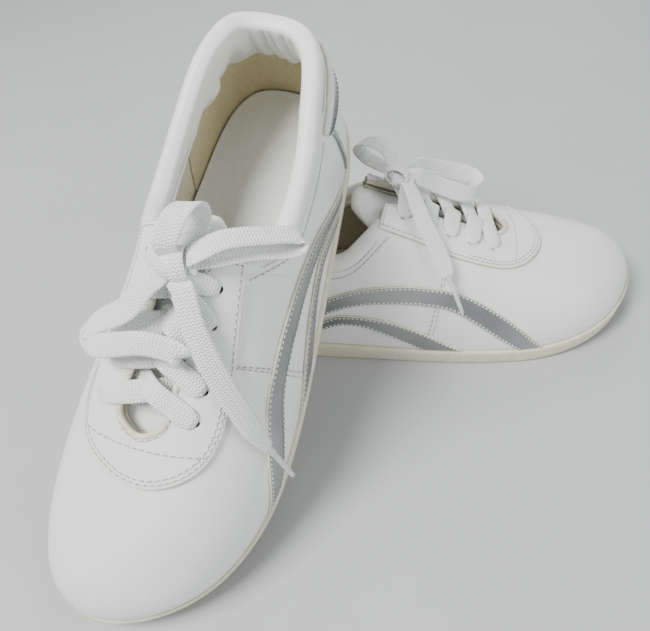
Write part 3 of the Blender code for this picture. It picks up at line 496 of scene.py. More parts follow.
class Nodes:
    """A short way to write a material's nodes."""

    def __init__(self, name):
        self.material = bpy.data.materials.new(name)
        self.material.use_nodes = True
        self.tree = self.material.node_tree
        self.shader = self.tree.nodes["Principled BSDF"]

    def add(self, kind, inputs=None, **settings):
        node = self.tree.nodes.new(kind)
        for key, value in settings.items():
            setattr(node, key, value)
        for key, value in (inputs or {}).items():
            if isinstance(value, bpy.types.NodeSocket):
                self.tree.links.new(value, node.inputs[key])
            else:
                node.inputs[key].default_value = value
        return node

    def where(self):
        return self.add("ShaderNodeTexCoord").outputs["Object"]

    def run_and_width(self):
        """The piece's own UV as two sockets: along it and across it, in millimetres."""
        split = self.add("ShaderNodeSeparateXYZ", {"Vector": self.add("ShaderNodeUVMap").outputs["UV"]})
        return split.outputs["X"], split.outputs["Y"]

    def noise(self, scale, detail=3.0, roughness=0.5, vector=None):
        node = self.add("ShaderNodeTexNoise", {"Scale": scale, "Detail": detail, "Roughness": roughness,
                                               "Vector": vector or self.where()})
        return node.outputs["Fac"]

    def sums(self, operation, a, b=0.0, c=None):
        node = self.add("ShaderNodeMath", {0: a, 1: b}, operation=operation)
        if c is not None:
            node.inputs[2].default_value = c
        return node.outputs[0]

    def ramp(self, fac, stops):
        node = self.add("ShaderNodeValToRGB", {"Fac": fac})
        elements = node.color_ramp.elements
        while len(elements) < len(stops):
            elements.new(0.5)
        for element, (place, colour) in zip(elements, stops):
            element.position = place
            element.color = (*colour, 1.0) if len(colour) == 3 else colour
        return node.outputs["Color"]

    def spread(self, fac, low, high):
        return self.add("ShaderNodeMapRange", {"Value": fac, "To Min": low, "To Max": high}).outputs["Result"]

    def bump(self, *layers):
        """Height layers of (socket, strength, distance in metres), one on the other."""
        last = None
        for height, strength, distance in layers:
            node = self.add("ShaderNodeBump", {"Height": height, "Strength": strength, "Distance": distance})
            if last is not None:
                self.tree.links.new(last, node.inputs["Normal"])
            last = node.outputs["Normal"]
        self.tree.links.new(last, self.shader.inputs["Normal"])

    def set(self, **inputs):
        for key, value in inputs.items():
            key = key.replace("_", " ")
            if isinstance(value, bpy.types.NodeSocket):
                self.tree.links.new(value, self.shader.inputs[key])
            else:
                self.shader.inputs[key].default_value = value
        return self.material


def leather(name, light, dark, roughness=(0.36, 0.5), grain=0.5, crease=0.35):
    """Smooth coated leather: fine pores, faint creases and a slight mottle."""
    n = Nodes(name)
    pores = n.add("ShaderNodeTexVoronoi", {"Scale": 1100.0, "Vector": n.where()}, feature="SMOOTH_F1")
    stretched = n.add("ShaderNodeMapping", {"Vector": n.where(), "Scale": (1.0, 1.0, 2.2)}).outputs["Vector"]
    folds = n.noise(95.0, 4.0, 0.55, stretched)
    mottle = n.noise(26.0, 3.0)
    n.bump((folds, crease, 0.0006), (pores.outputs["Distance"], grain, 0.00012))
    return n.set(Base_Color=n.ramp(mottle, ((0.3, dark), (0.65, light))),
                 Roughness=n.spread(n.noise(60.0), *roughness), Specular_IOR_Level=0.45,
                 Coat_Weight=0.12, Coat_Roughness=0.3)


def foil(name, light, dark, roughness, emboss, painted_reflection_span=None):
    """Mirror foil on a backing: a fine crossed emboss, and the slight waves of the skin under it. A sheet
    `painted_reflection_span` millimetres across has a painted reflection: it goes from dark at its low edge
    to light at its top."""
    n = Nodes(name)
    run, wide = n.run_and_width()
    lines = [n.sums("SINE", n.sums("MULTIPLY", axis, 2 * math.pi / pitch))
             for axis, pitch in ((run, 0.85), (wide, 1.05))]
    mesh = n.sums("MULTIPLY", *lines)
    waves = n.noise(60.0, 1.0)
    n.bump((waves, 0.15, 0.0006), (mesh, emboss, 0.00012))
    tone = n.noise(14.0, 1.0)
    # Painted reflection: the colour runs from dark at the sheet's low edge to light at its top, with a random
    # mottle on it.
    if painted_reflection_span:
        mottle = n.sums("MULTIPLY_ADD", tone, 0.5, -0.25)
        tone = n.sums("ADD", n.sums("MULTIPLY", wide, 1 / painted_reflection_span), mottle)
    return n.set(Base_Color=n.ramp(tone, ((0.42, dark), (0.6, light))), Metallic=1.0,
                 Roughness=n.spread(n.noise(40.0, 1.0), *roughness))


def cloth(name, light, dark, pitch, depth=0.6, roughness=0.88, sheen=0.15):
    """A plain woven cloth, its threads `pitch` millimetres apart, from the piece's own UV in millimetres."""
    n = Nodes(name)
    a, b = (n.sums("SINE", n.sums("MULTIPLY", axis, math.pi / pitch)) for axis in n.run_and_width())
    weave = n.sums("MULTIPLY", a, b)
    tone = n.sums("MULTIPLY_ADD", weave, 0.22, 0.5)
    both = n.sums("ADD", tone, n.sums("MULTIPLY_ADD", n.noise(420.0, 4.0), 0.8, -0.4))
    n.bump((weave, depth, pitch * 0.00025), (n.noise(900.0), 0.3, 0.0001))
    return n.set(Base_Color=n.ramp(both, ((0.25, dark), (0.75, light))), Roughness=roughness,
                 Sheen_Weight=sheen, Specular_IOR_Level=0.25)


def woven_tape(name):
    """The lace's flat braid: slanted plies that change slant from one rib to the next."""
    n = Nodes(name)
    run, wide = n.run_and_width()
    rib = n.sums("PINGPONG", wide, 1.0)
    slant = n.sums("ADD", n.sums("MULTIPLY", run, 2 * math.pi / PLY_PITCH), n.sums("MULTIPLY", rib, 3.6))
    plies = n.sums("SINE", slant)
    ribs = n.sums("SINE", n.sums("MULTIPLY", wide, math.pi))
    height = n.sums("ADD", n.sums("MULTIPLY", plies, 0.6), n.sums("MULTIPLY", n.sums("ABSOLUTE", ribs), 0.5))
    tone = n.sums("MULTIPLY_ADD", height, 0.32, 0.55)
    fuzz = n.noise(1500.0, 2.0)
    n.bump((height, 0.9, 0.00028), (fuzz, 0.35, 0.0001))
    return n.set(Base_Color=n.ramp(tone, ((0.1, (0.70, 0.73, 0.70)), (0.6, (0.90, 0.92, 0.90)))),
                 Roughness=0.86, Sheen_Weight=0.25, Sheen_Roughness=0.4, Specular_IOR_Level=0.2,
                 Subsurface_Weight=0.12, Subsurface_Radius=(0.001, 0.001, 0.001))


def plain(name, light, dark, roughness, scale=300.0, strength=0.3, distance=0.0002, **more):
    n = Nodes(name)
    grain = n.noise(scale, 4.0, 0.6)
    n.bump((grain, strength, distance))
    return n.set(Base_Color=n.ramp(grain, ((0.35, dark), (0.65, light))),
                 Roughness=n.spread(n.noise(90.0), roughness - 0.05, roughness + 0.05), **more)


MATERIALS = {
    "leather": leather("white_leather_look", (0.87, 0.875, 0.86), (0.80, 0.81, 0.79)),
    "soft_leather": leather("collar_leather_look", (0.86, 0.875, 0.85), (0.79, 0.81, 0.78), (0.4, 0.52),
                            0.4, 0.5),
    "raw_edge": plain("raw_edge_look", (0.78, 0.75, 0.60), (0.62, 0.58, 0.44), 0.75),
    "foil": foil("stripe_foil_look", (0.50, 0.51, 0.51), (0.34, 0.36, 0.36), (0.22, 0.34), 0.45),
    # The heel tab's foil: its colour holds a painted reflection, dark at the tab's low edge and light at its
    # top, over 15 millimetres.
    "mirror": foil("heel_foil_painted_reflection_look", (0.88, 0.89, 0.90), (0.07, 0.08, 0.10), (0.07, 0.14), 0.04, 15.0),
    "piping": foil("piping_foil_look", (0.50, 0.51, 0.51), (0.34, 0.36, 0.36), (0.16, 0.26), 0.05),
    "canvas": cloth("canvas_look", (0.76, 0.70, 0.56), (0.62, 0.56, 0.42), 0.55),
    "khaki": cloth("heel_lining_look", (0.60, 0.53, 0.33), (0.47, 0.41, 0.24), 0.4, 0.35, 0.8, 0.3),
    "insole": cloth("insole_look", (0.86, 0.88, 0.85), (0.77, 0.79, 0.76), 0.7, 0.45),
    "rubber": plain("rubber_look", (0.76, 0.73, 0.56), (0.68, 0.65, 0.47), 0.5, 160.0, 0.25, 0.0003,
                    Subsurface_Weight=0.2, Subsurface_Radius=(0.004, 0.0035, 0.002), Coat_Weight=0.1),
    "foam": plain("foam_look", (0.86, 0.81, 0.63), (0.70, 0.64, 0.46), 0.92, 900.0, 0.8, 0.0006),
    "board": plain("board_look", (0.66, 0.56, 0.40), (0.54, 0.44, 0.30), 0.88, 500.0, 0.4),
    "steel": plain("steel_look", (0.56, 0.56, 0.58), (0.48, 0.48, 0.50), 0.36, 700.0, 0.2, 0.00005,
                   Metallic=1.0),
    "stiffener": plain("stiffener_look", (0.76, 0.73, 0.67), (0.66, 0.63, 0.57), 0.7),
    "tape": woven_tape("lace_look"),
    "tip": plain("lace_tip_look", (0.84, 0.86, 0.84), (0.76, 0.78, 0.76), 0.22, 200.0, 0.1, 0.00005,
                 Transmission_Weight=0.35, IOR=1.46, Coat_Weight=0.3),
    "thread": plain("thread_look", (0.80, 0.81, 0.77), (0.66, 0.67, 0.62), 0.7, 2500.0, 0.6, 0.0001),
    # Painted shade: the needle holes' dark colour stands in for the shade inside them.
    "hole": plain("needle_hole_painted_shade_look", (0.12, 0.11, 0.09), (0.05, 0.05, 0.04), 0.9, 900.0),
}

# ---------------------------------------------------------------- meshes

SHOE = {}

# A strip's section: how many sides it has, how square it is, and where its middle lies in the UV.
STRIP_SIDES = 16
STRIP_SQUARENESS = 0.62
UV_MIDDLE = 40
# Fine stitches along the foils' edges, and how far inside an edge a row lies.
FINE_STITCH = {"pitch": 2.3, "length": 1.7, "size": 0.42, "hole": 0.16}
FINE_INSET = 1.3
# The side seam's stitches: how far they lie from it, the two sheets' lengths, and how near the middle of
# the shoe they go. Then how far the collar's stitches lie under its seam, in the last's own measure.
SEAM_INSET = 1.5
QUARTER_RUN = 105.0
VAMP_RUN = 190.0
SEAM_SEWN_TO = {-1: 28.0, 1: 26.5}
COLLAR_STITCH_DROP = 0.022


def to_pair(points):
    """A shoe's own millimetres turned into the pair's metres."""
    points = np.asarray(points, float) * ((1, -1, 1) if SHOE["mirrored"] else (1, 1, 1))
    return (points @ SHOE["turn"].T + SHOE["origin"]) * MM


def enclosed(points, faces):
    """A number with the sign of the volume inside a closed mesh of quads."""
    first, second, third, fourth = points[faces].swapaxes(0, 1)
    normals = np.cross(second - first, third - first) + np.cross(third - first, fourth - first)
    return np.einsum("ij,ij->", first, normals)


def placed(name, data):
    """A new object in the scene."""
    made = bpy.data.objects.new(name, data)
    bpy.context.scene.collection.objects.link(made)
    return made


def piece(name, points, faces, looks, body, face_looks=None, uv=None, closed=True):
    """A named mesh riding on a body, from the shoe's millimetres. Its faces are quads, and a triangle is a
    quad that repeats a corner."""
    points = to_pair(points)
    faces = np.asarray(faces, int)
    if closed:
        flip = enclosed(points - points.mean(0), faces) < 0
    else:
        flip = SHOE["mirrored"]
    if flip:
        faces = faces[:, ::-1]
    mesh = bpy.data.meshes.new(SHOE["prefix"] + name)
    keep = [[c for k, c in enumerate(face) if c != face[k - 1]] for face in faces.tolist()]
    mesh.from_pydata(points.tolist(), [], keep)
    for look in looks:
        mesh.materials.append(MATERIALS[look])
    if face_looks is not None:
        mesh.polygons.foreach_set("material_index", np.asarray(face_looks, np.int32))
    if uv is not None:
        layer = mesh.uv_layers.new(name="UVMap")
        loops = np.empty(len(mesh.loops), np.int32)
        mesh.loops.foreach_get("vertex_index", loops)
        layer.data.foreach_set("uv", np.asarray(uv, np.float32)[loops].ravel())
    mesh.shade_smooth()
    mesh.update()
    made = placed(SHOE["prefix"] + name, mesh)
    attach(made, SHOE["prefix"] + body)
    return made


def grid_faces(rows, columns, start=0, wrap=False):
    """Quads over a grid of rows by columns points; wrap joins the last column to the first."""
    i, j = np.meshgrid(np.arange(rows - 1), np.arange(columns if wrap else columns - 1), indexing="ij")
    k = (j + 1) % columns
    return start + np.stack([i * columns + j, i * columns + k, (i + 1) * columns + k, (i + 1) * columns + j],
                            -1).reshape(-1, 4)


def border(rows, columns):
    """The points round the edge of a grid, in order."""
    index = np.arange(rows * columns).reshape(rows, columns)
    return np.concatenate([index[0, :-1], index[:-1, -1], index[-1, :0:-1], index[:0:-1, 0]])


def two_faced(rows, columns):
    """The faces of a grid, of a second one behind it and of the strip round both. Also the first's alone and
    the strip's length."""
    rim, count = border(rows, columns), rows * columns
    quads = grid_faces(rows, columns)
    sides = np.stack([rim, np.roll(rim, -1), np.roll(rim, -1) + count, rim + count], 1)
    return np.vstack([quads, quads[:, ::-1] + count, sides[:, ::-1]]), quads, len(sides)


def spaced(length, count, edge):
    """Fractions along a length with extra ones close to both ends, where the edge is rounded."""
    near = np.array([0, 0.13, 0.5, 1.0]) * edge / length
    inner = np.linspace(near[-1], 1 - near[-1], count)
    return np.concatenate([near[:-1], inner, 1 - near[-2::-1]])


def sheet(name, place, out, thick, counts, looks, body="shoe", lip=0.4, puff=None):
    """A skin with rounded edges: place(u, v, out) gives its points, and its face stands `out` from the
    last."""
    def width(u):
        low, high = place(np.full(2, u), np.array([0.0, 1.0]), out)
        return np.linalg.norm(high - low)

    along = np.linspace(0, 1, 60)
    middle = place(along, np.full_like(along, 0.5), out)
    lengths = (np.linalg.norm(np.diff(middle, axis=0), axis=1).sum(),
               float(np.mean([width(u) for u in (0.25, 0.5, 0.75)])))
    us, vs = (spaced(size, count, lip) for size, count in zip(lengths, counts))
    u, v = (part.ravel() for part in np.meshgrid(us, vs, indexing="ij"))
    reach = np.minimum(np.minimum(u, 1 - u) * lengths[0], np.minimum(v, 1 - v) * lengths[1])
    turn = np.clip(1 - reach / lip, 0, 1)
    drop = lip * (1 - np.sqrt(1 - turn ** 2))
    face = out - drop + (puff(u, v) if puff else 0)
    top, bottom = place(u, v, face), place(u, v, np.full_like(u, out - thick))
    faces, quads, strip = two_faced(len(us), len(vs))
    edge, raw = reach[quads].max(1) < lip * 1.01, len(looks) > 1
    kinds = np.concatenate([edge & raw, np.zeros(len(quads)), np.full(strip, raw)])
    uv = np.tile(np.stack([u * lengths[0], v * lengths[1]], 1), (2, 1))
    return piece(name, np.vstack([top, bottom]), faces, looks, body, kinds, uv)


def over(patch):
    return lambda u, v, out: stand_off(patch(u, v), out)


def ribbon(name, path, across, width, thick, body="shoe", cup=0.0, step=0.5, look="tape"):
    """A flat strip along a path, such as a lace. `across`, `width` and `thick` are single or one for each
    point of the path."""
    path = np.asarray(path, float)
    across = np.broadcast_to(np.asarray(across, float), path.shape)
    width = np.broadcast_to(np.asarray(width, float), len(path))
    thick = np.broadcast_to(np.asarray(thick, float), len(path))
    fine = curve_through(path, 24 * len(path))
    run = lengths_along(fine)
    count = max(int(run[-1] / step), 8)
    at = np.linspace(0, run[-1], count)
    centre = read_at(at, run, fine)
    knots = np.array([run[np.linalg.norm(fine - point, axis=1).argmin()] for point in path])
    knots = np.maximum.accumulate(knots + np.arange(len(knots)) * 1e-6)
    knots[0], knots[-1] = 0, run[-1]
    wide, deep = np.interp(at, knots, width), np.interp(at, knots, thick)
    side = read_at(at, knots, across)
    along = directions(np.gradient(centre, axis=0))
    side -= along * (side * along).sum(1)[:, None]
    side = directions(side)
    face = np.cross(side, along)
    around = np.linspace(0, 2 * math.pi, STRIP_SIDES + 1)[:-1]
    flat, high = (np.sign(turn) * np.abs(turn) ** STRIP_SQUARENESS
                  for turn in (np.cos(around), np.sin(around)))
    braid = 1 + 0.025 * np.sin(2 * math.pi * at / PLY_PITCH)[:, None]
    x = flat[None] * wide[:, None] / 2 * braid
    z = high[None] * deep[:, None] / 2 - cup * (x / 4) ** 2
    points = centre[:, None] + side[:, None] * x[..., None] + face[:, None] * z[..., None]
    faces = grid_faces(count, len(around), wrap=True)
    points = points.reshape(-1, 3)
    last = (count - 1) * STRIP_SIDES
    caps = [[base + k, base + (k + 1) % STRIP_SIDES, tip, tip]
            for base, tip in ((0, len(points)), (last, len(points) + 1)) for k in range(STRIP_SIDES)]
    caps = [face[::-1] if face[2] == len(points) else face for face in caps]
    points = np.vstack([points, centre[:1], centre[-1:]])
    uv = np.stack([np.repeat(at, STRIP_SIDES), (x + UV_MIDDLE).ravel()], 1)
    uv = np.vstack([uv, [[0, UV_MIDDLE]], [[at[-1], UV_MIDDLE]]])
    made = piece(name, points, np.vstack([faces, caps]), [look], body, uv=uv)
    return made, centre


def with_way_out(surface, out):
    """Points of a surface that takes a level, and the way out at each."""
    points = surface(out)
    return points, surface(out + 1.0) - points


def stitch(points, normals, pitch=2.9, length=1.9, size=0.3, hole=0.3):
    """Adds a row of stitches along a line of points, with a dark disc of painted shade at each needle hole.
    """
    run = lengths_along(points)
    if run[-1] < 2 * pitch:
        return
    count = int(run[-1] / pitch)
    centres = (np.arange(count) + 0.5) * run[-1] / count
    t = np.linspace(-1, 1, 5)
    at = centres[:, None] + t * length / 2
    place, up = read_at(at, run, points), directions(read_at(at, run, normals))
    side = np.cross(up, directions(np.gradient(place, axis=1)))
    around = np.arange(6) * math.pi / 3
    swell = (1 - 0.75 * t ** 4)[None, :, None, None]
    rise = (0.30 * (1 - t ** 2) - 0.06)[None, :, None, None]
    ring = (side[:, :, None] * (size * np.cos(around))[None, None, :, None] * swell
            + up[:, :, None] * (0.22 * np.sin(around)[None, None, :, None] * swell + rise))
    tubes = (place[:, :, None] + ring).reshape(-1, 3)
    one = grid_faces(5, 6, wrap=True)
    caps = np.array([[0, 1, 2, 3], [3, 4, 5, 0], [27, 26, 25, 24], [24, 29, 28, 27]])
    one = np.vstack([one, caps])
    SHOE["threads"].append((tubes, (one[None] + 30 * np.arange(count)[:, None, None]).reshape(-1, 4)))
    # The needle holes: small dark discs, painted shade where each hole is.
    at = (centres[:, None] + np.array([-1, 1]) * (length / 2 + 0.12)).ravel()
    place, up = read_at(at, run, points), directions(read_at(at, run, normals))
    turn = directions(np.cross(up, np.roll(up, 1, 1) + (0.1, 0.3, 0.2)))
    ring = turn[:, None] * np.cos(around)[:, None] + np.cross(up, turn)[:, None] * np.sin(around)[:, None]
    disc = np.concatenate([(place + up * 0.05)[:, None] + hole * ring,
                           (place - up * 0.15)[:, None] + 0.6 * hole * ring], 1)
    one = np.vstack([[[k, (k + 1) % 6, (k + 1) % 6 + 6, k + 6] for k in range(6)],
                     [[0, 1, 2, 3], [3, 4, 5, 0], [9, 8, 7, 6], [6, 11, 10, 9]]])
    quads = (one[None] + 12 * np.arange(len(at))[:, None, None]).reshape(-1, 4)
    SHOE["holes"].append((disc.reshape(-1, 3), quads))


def sew():
    """Turns the gathered stitches and the needle holes' discs of painted shade into two pieces."""
    for kind, name, look in (("threads", "stitching", "thread"), ("holes", "needle_hole_painted_shades", "hole")):
        start, points, faces = 0, [], []
        for these, quads in SHOE[kind]:
            points.append(these)
            faces.append(quads + start)
            start += len(these)
        piece(name, np.vstack(points), np.vstack(faces), [look], "shoe")


def punched(made, cutter):
    """Cuts the eyelets through a piece for good."""
    modifier = made.modifiers.new("eyelets", "BOOLEAN")
    modifier.operation, modifier.solver, modifier.object = "DIFFERENCE", "EXACT", cutter
    graph = bpy.context.evaluated_depsgraph_get()
    mesh = bpy.data.meshes.new_from_object(made.evaluated_get(graph))
    made.modifiers.clear()
    made.data = mesh


def relax(made, centre, reach, rounds=14):
    """Evens out a sheet round a point, where the last's two slopes meet."""
    centre = Vector(to_pair([centre])[0])
    bm = bmesh.new()
    bm.from_mesh(made.data)
    near = [vertex for vertex in bm.verts if (vertex.co - centre).length < reach * MM]
    for _ in range(rounds):
        bmesh.ops.smooth_vert(bm, verts=near, factor=0.5, use_axis_x=True, use_axis_y=True, use_axis_z=True)
    bm.to_mesh(made.data)
    bm.free()


# ---------------------------------------------------------------- the pieces of one shoe

def swept_ring(inset, level):
    """A ring round the sole: its outline moved inwards, at a height given as a function of x."""
    fractions = np.linspace(0, 1, 360, endpoint=False)
    edge, inward = rim_at(fractions)
    plan = edge + inward * inset
    return np.concatenate([plan, level(plan[:, 0])[:, None]], 1)


def closed_in(ring, shares, level):
    """Rings that draw in from the given one to a line along the sole's middle."""
    spine = np.stack([np.clip(ring[:, 0], 30, 222), np.clip(ring[:, 0], 30, 222) * 0.01 - 2], 1)
    rings = []
    for share in shares:
        plan = ring[:, :2] * (1 - share) + spine * share
        rings.append(np.concatenate([plan, level(plan[:, 0])[:, None]], 1))
    return rings


def stacked_rings(name, rings, looks):
    """A solid from rings of equally many points, each joined to the next."""
    points = np.vstack(rings)
    faces = grid_faces(len(rings), len(rings[0]), wrap=True)
    return piece(name, points, faces, looks, "shoe", uv=points[:, :2])


def make_sole():
    def feather(x):
        return profile(x, FEATHER)

    def spring(x):
        return profile(x, SPRING)

    shares = (0.15, 0.35, 0.6, 0.85, 1.0)
    mix = lambda part, lift=0.0: lambda x: spring(x) + (feather(x) - GAP - spring(x)) * part + lift
    outside = [swept_ring(inset, mix(part, lift)) for inset, part, lift in (
        (WELL_INSET, 1.0, 0.0), (0.6, 1.0, 0.0), (-0.9, 1.0, 0.0), (-1.35, 1.0, -0.25), (-1.6, 1.0, -0.8),
        (-1.55, 0.7, 0.0), (-1.35, 0.45, 0.0), (-1.2, 0.25, 0.0), (-1.1, 0.12, 0.0), (-0.7, 0.03, 0.0),
        (0.0, 0.0, 0.0), (3.0, 0.0, 0.0))]
    bottom = closed_in(outside[-1], shares, spring)
    well = [swept_ring(WELL_INSET, lambda x: spring(x) + WELL_FLOOR)]
    floor = closed_in(well[0], shares, lambda x: spring(x) + WELL_FLOOR)
    rings = bottom[::-1] + outside[::-1] + well + floor
    sole = stacked_rings("outsole_body", rings, ["rubber"])
    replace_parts(sole, SHOE["prefix"] + "outsole")
    top = lambda x, lift=0.0: feather(x) + 5.0 + lift
    low = lambda x, lift=0.0: feather(x) + 2.0 + lift
    rings = [swept_ring(inset, lambda x: level(x, lift)) for inset, level, lift in (
        (8.0, low, 0.0), (5.8, low, 0.0), (5.3, low, 0.4), (5.0, low, 1.6),
        (4.9, top, 0.5), (5.3, top, 0.9), (6.4, top, 0.6), (8.5, top, 0.0))]
    rings = closed_in(rings[0], shares, low)[::-1] + rings + closed_in(rings[-1], shares, top)
    bed = stacked_rings("insole", rings, ["insole"])
    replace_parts(bed, SHOE["prefix"] + "footbed")


def plan_line(*stretches):
    """Plan positions along one smooth line, whose stretches each take an equal share of u."""
    marks = list(stretches[0]) + [mark for stretch in stretches[1:] for mark in stretch[1:]]
    fine = curve_through(marks, 600)
    joints = [np.linalg.norm(fine - stretch[0], axis=1).argmin() for stretch in stretches[1:]]
    u = np.interp(np.arange(600), [0, *joints, 599], np.linspace(0, 1, len(stretches) + 1))
    return lambda at: read_at(at, u, fine)


def stay_place():
    """The lace stay: a long U from the outer rear corner round the front to the inner one."""
    outside = plan_line(STAY_OUTER, STAY_FRONT, STAY_INNER)
    inside = plan_line(THROAT_OUTER, THROAT_FRONT, THROAT_INNER)

    def place(u, v, out):
        share = np.asarray(v, float)[:, None]
        return roof(*(outside(u) * (1 - share) + inside(u) * share).T, out)
    return place


WALL_SHARE = 0.62


def vamp_place():
    """The toe piece: up the wall from the sole's edge, then level to the front of the throat."""
    patch, throat = vamp_patch(), plan_line(THROAT_FRONT)
    ends = patch(np.array([0.0, 1.0]), np.ones(2))

    def place(u, v, out):
        u, v = np.asarray(u, float), np.asarray(v, float)
        out = np.broadcast_to(np.asarray(out, float), u.shape)
        wall = np.clip(v / WALL_SHARE, 0, 1)
        foot = patch(u, np.zeros_like(u))[:, 0]
        seam, level = np.where((u < 0.5)[:, None], ends[0], ends[1]).T
        lean = np.clip(1 - np.minimum(u, 1 - u) / 0.12, 0, 1) ** 2
        p = foot + (seam - foot) * lean * wall / level
        low = stand_off(np.stack([p, wall], 1), out)
        share = np.clip((v - WALL_SHARE) / (1 - WALL_SHARE), 0, 1)[:, None]
        turned = skin(p, np.ones_like(p))[:, :2]
        high = roof(*(turned + (throat(u) - turned) * share).T, out)
        return np.where((v < WALL_SHARE)[:, None], low, high)
    return place


def eyelet_cutter():
    bm = bmesh.new()
    for x, y in EYELETS_OUTER + EYELETS_INNER:
        low, high = roof(x, y, -8.0)[0], roof(x, y, 4.0)[0]
        turn = Vector(high - low).to_track_quat("Z", "Y").to_matrix().to_4x4()
        bmesh.ops.create_cone(bm, cap_ends=True, segments=20, radius1=EYELET_RADIUS, radius2=EYELET_RADIUS,
                              depth=12, matrix=Matrix.Translation((low + high) / 2) @ turn)
    points = to_pair([vert.co for vert in bm.verts])
    for vert, point in zip(bm.verts, points):
        vert.co = point
    if SHOE["mirrored"]:
        bmesh.ops.reverse_faces(bm, faces=bm.faces)
    mesh = bpy.data.meshes.new("punch")
    bm.to_mesh(mesh)
    bm.free()
    mesh.materials.append(MATERIALS["raw_edge"])
    return placed(SHOE["prefix"] + "punch", mesh)


def make_upper():
    cutter = eyelet_cutter()
    prefix = SHOE["prefix"]
    depth = UPPER + 2 * GAP + STIFFENER
    vamp = vamp_place()
    stacked = [sheet("toe_leather", vamp, 0.0, UPPER, (110, 56), ["leather"])]
    relax(stacked[0], TOE_PEAK, 5.0)
    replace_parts(stacked[0], prefix + "vamp")
    lining = sheet("toe_canvas", vamp, -depth, LINING, (70, 30), ["canvas"], lip=0.2)
    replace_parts(lining, prefix + "vamp_lining")
    for side, name in ((OUTER, "outer"), (INNER, "inner")):
        quarter = side_patch(side)
        skin_piece = sheet(name + "_side_leather", over(quarter), -LAP_DEPTH, UPPER - LAP_DEPTH, (110, 36),
                           ["leather"])
        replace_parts(skin_piece, prefix + name + "_quarter")
        stacked.append(skin_piece)
        lining = sheet(name + "_side_canvas", over(quarter), -depth, LINING, (70, 26), ["canvas"],
                       lip=0.2)
        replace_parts(lining, prefix + name + "_lining")
    back = back_patch()
    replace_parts(sheet("back_leather", over(back), 0.0, UPPER, (70, 36), ["leather"]), prefix + "back_panel")
    lining = sheet("heel_cloth", over(heel_cloth_patch()), -depth - LINING - CLOTH_GAP, LINING, (90, 30),
                   ["khaki"], lip=0.2)
    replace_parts(lining, prefix + "heel_lining")
    edge = stay_place()
    stay = sheet("lace_stay_leather", edge, STAY_TOP, STAY_TOP, (240, 18), ["leather", "raw_edge"])
    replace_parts(stay, prefix + "lace_stay")
    # The heel tab's foil has a painted reflection in its colour: dark at its low edge, light at its top.
    tab = sheet("heel_tab_foil", over(tab_patch()), TAB_TOP, TAB_TOP, (110, 14), ["mirror", "raw_edge"])
    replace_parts(tab, prefix + "heel_tab")
    for name, low, top in (("upper_stripe", STRIPE_HIGH_LOW, STRIPE_HIGH_TOP),
                           ("lower_stripe", STRIPE_LOW_LOW, STRIPE_LOW_TOP)):
        stripe = sheet(name + "_foil", over(stripe_patch(low, top)), STRIPE_TOP, STRIPE_TOP, (150, 12),
                       ["foil", "raw_edge"])
        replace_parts(stripe, prefix + name)
    for target in [stay] + stacked:
        punched(target, cutter)
    bpy.data.objects.remove(cutter)
    trim_edges(edge)


def trim_edges(stay):
    """The silver piping beside the heel panel, and the raw edge round the throat."""
    for side, name in ((OUTER, "outer"), (INNER, "inner")):
        marks = curve_through(np.array(mark_line(side, PIPING)) * MARK_SCALE, 70) / MARK_SCALE
        points, out = with_way_out(lambda level: stand_off(marks, level), 0.25)
        across = directions(np.cross(out, np.gradient(points, axis=0)))
        ribbon(name + "_piping", points[::3], across[::3], 3.2, 1.6, look="piping",
               step=0.8)
    u = np.linspace(0.30, 0.985, 130)
    points, out = with_way_out(lambda level: stay(u, np.ones_like(u), level), 1.0)
    across = directions(np.cross(np.gradient(points, axis=0), out))
    ribbon("throat_binding", points[::2], across[::2], 2.2, 2.2, look="raw_edge",
           step=0.7)


def sheet_line(place, edge_v, inset, out, ends=(0.0, 1.0), count=260):
    """A line inside a sheet's long edge, `inset` millimetres from it, and the way out along it."""
    u = np.linspace(*ends, count)
    near, far = place(u, np.full(count, edge_v), out), place(u, np.full(count, 1 - edge_v), out)
    width = np.linalg.norm(far - near, axis=1)
    v = edge_v + (1 - 2 * edge_v) * np.clip(inset / width, 0, 0.5)
    return with_way_out(lambda level: place(u, v, level), out)


def sew_upper():
    """Every row of stitches: round the stay and across its front, along the foils, seams and collar."""
    stay = stay_place()
    for edge, inset, ends in ((0.0, 1.7, (0.006, 0.994)), (0.0, 3.3, (0.30, 0.72)), (1.0, 1.6, (0.01, 0.99))):
        stitch(*sheet_line(stay, edge, inset, STAY_TOP, ends))
    v = np.linspace(0.1, 0.9, 40)
    for end in (0.008, 0.992):
        stitch(*with_way_out(lambda level: stay(np.full_like(v, end), v, level), STAY_TOP))
    plan = curve_through(CROSS_SEAM, 60)
    stitch(*with_way_out(lambda level: roof(*plan.T, level), STAY_TOP))
    for low, top in ((STRIPE_HIGH_LOW, STRIPE_HIGH_TOP), (STRIPE_LOW_LOW, STRIPE_LOW_TOP)):
        for edge in (0.0, 1.0):
            stitch(*sheet_line(over(stripe_patch(low, top)), edge, FINE_INSET, STRIPE_TOP), **FINE_STITCH)
    stitch(*sheet_line(over(tab_patch()), 0.0, FINE_INSET, TAB_TOP), **FINE_STITCH)
    vamp, v = vamp_place(), np.linspace(0.0, 0.98, 120)
    for side in (OUTER, INNER):
        share = SEAM_INSET / VAMP_RUN
        for place, at in ((over(side_patch(side)), SEAM_INSET / QUARTER_RUN),
                          (vamp, share if side == OUTER else 1 - share)):
            points, out = with_way_out(lambda level: place(np.full_like(v, at), v, level), 0.0)
            keep = side * points[:, 1] > SEAM_SEWN_TO[side]
            stitch(points[keep], out[keep])
    marks = collar_seam()(np.linspace(0.0, 1.0, 500)) - (0, COLLAR_STITCH_DROP)
    points, out = with_way_out(lambda level: stand_off(marks, level), 0.0)
    clear = points[:, 0] > TAB_FRONT[0] + 1
    for side in (points[:, 1] < 0, points[:, 1] > 0):
        stitch(points[clear & side], out[clear & side])


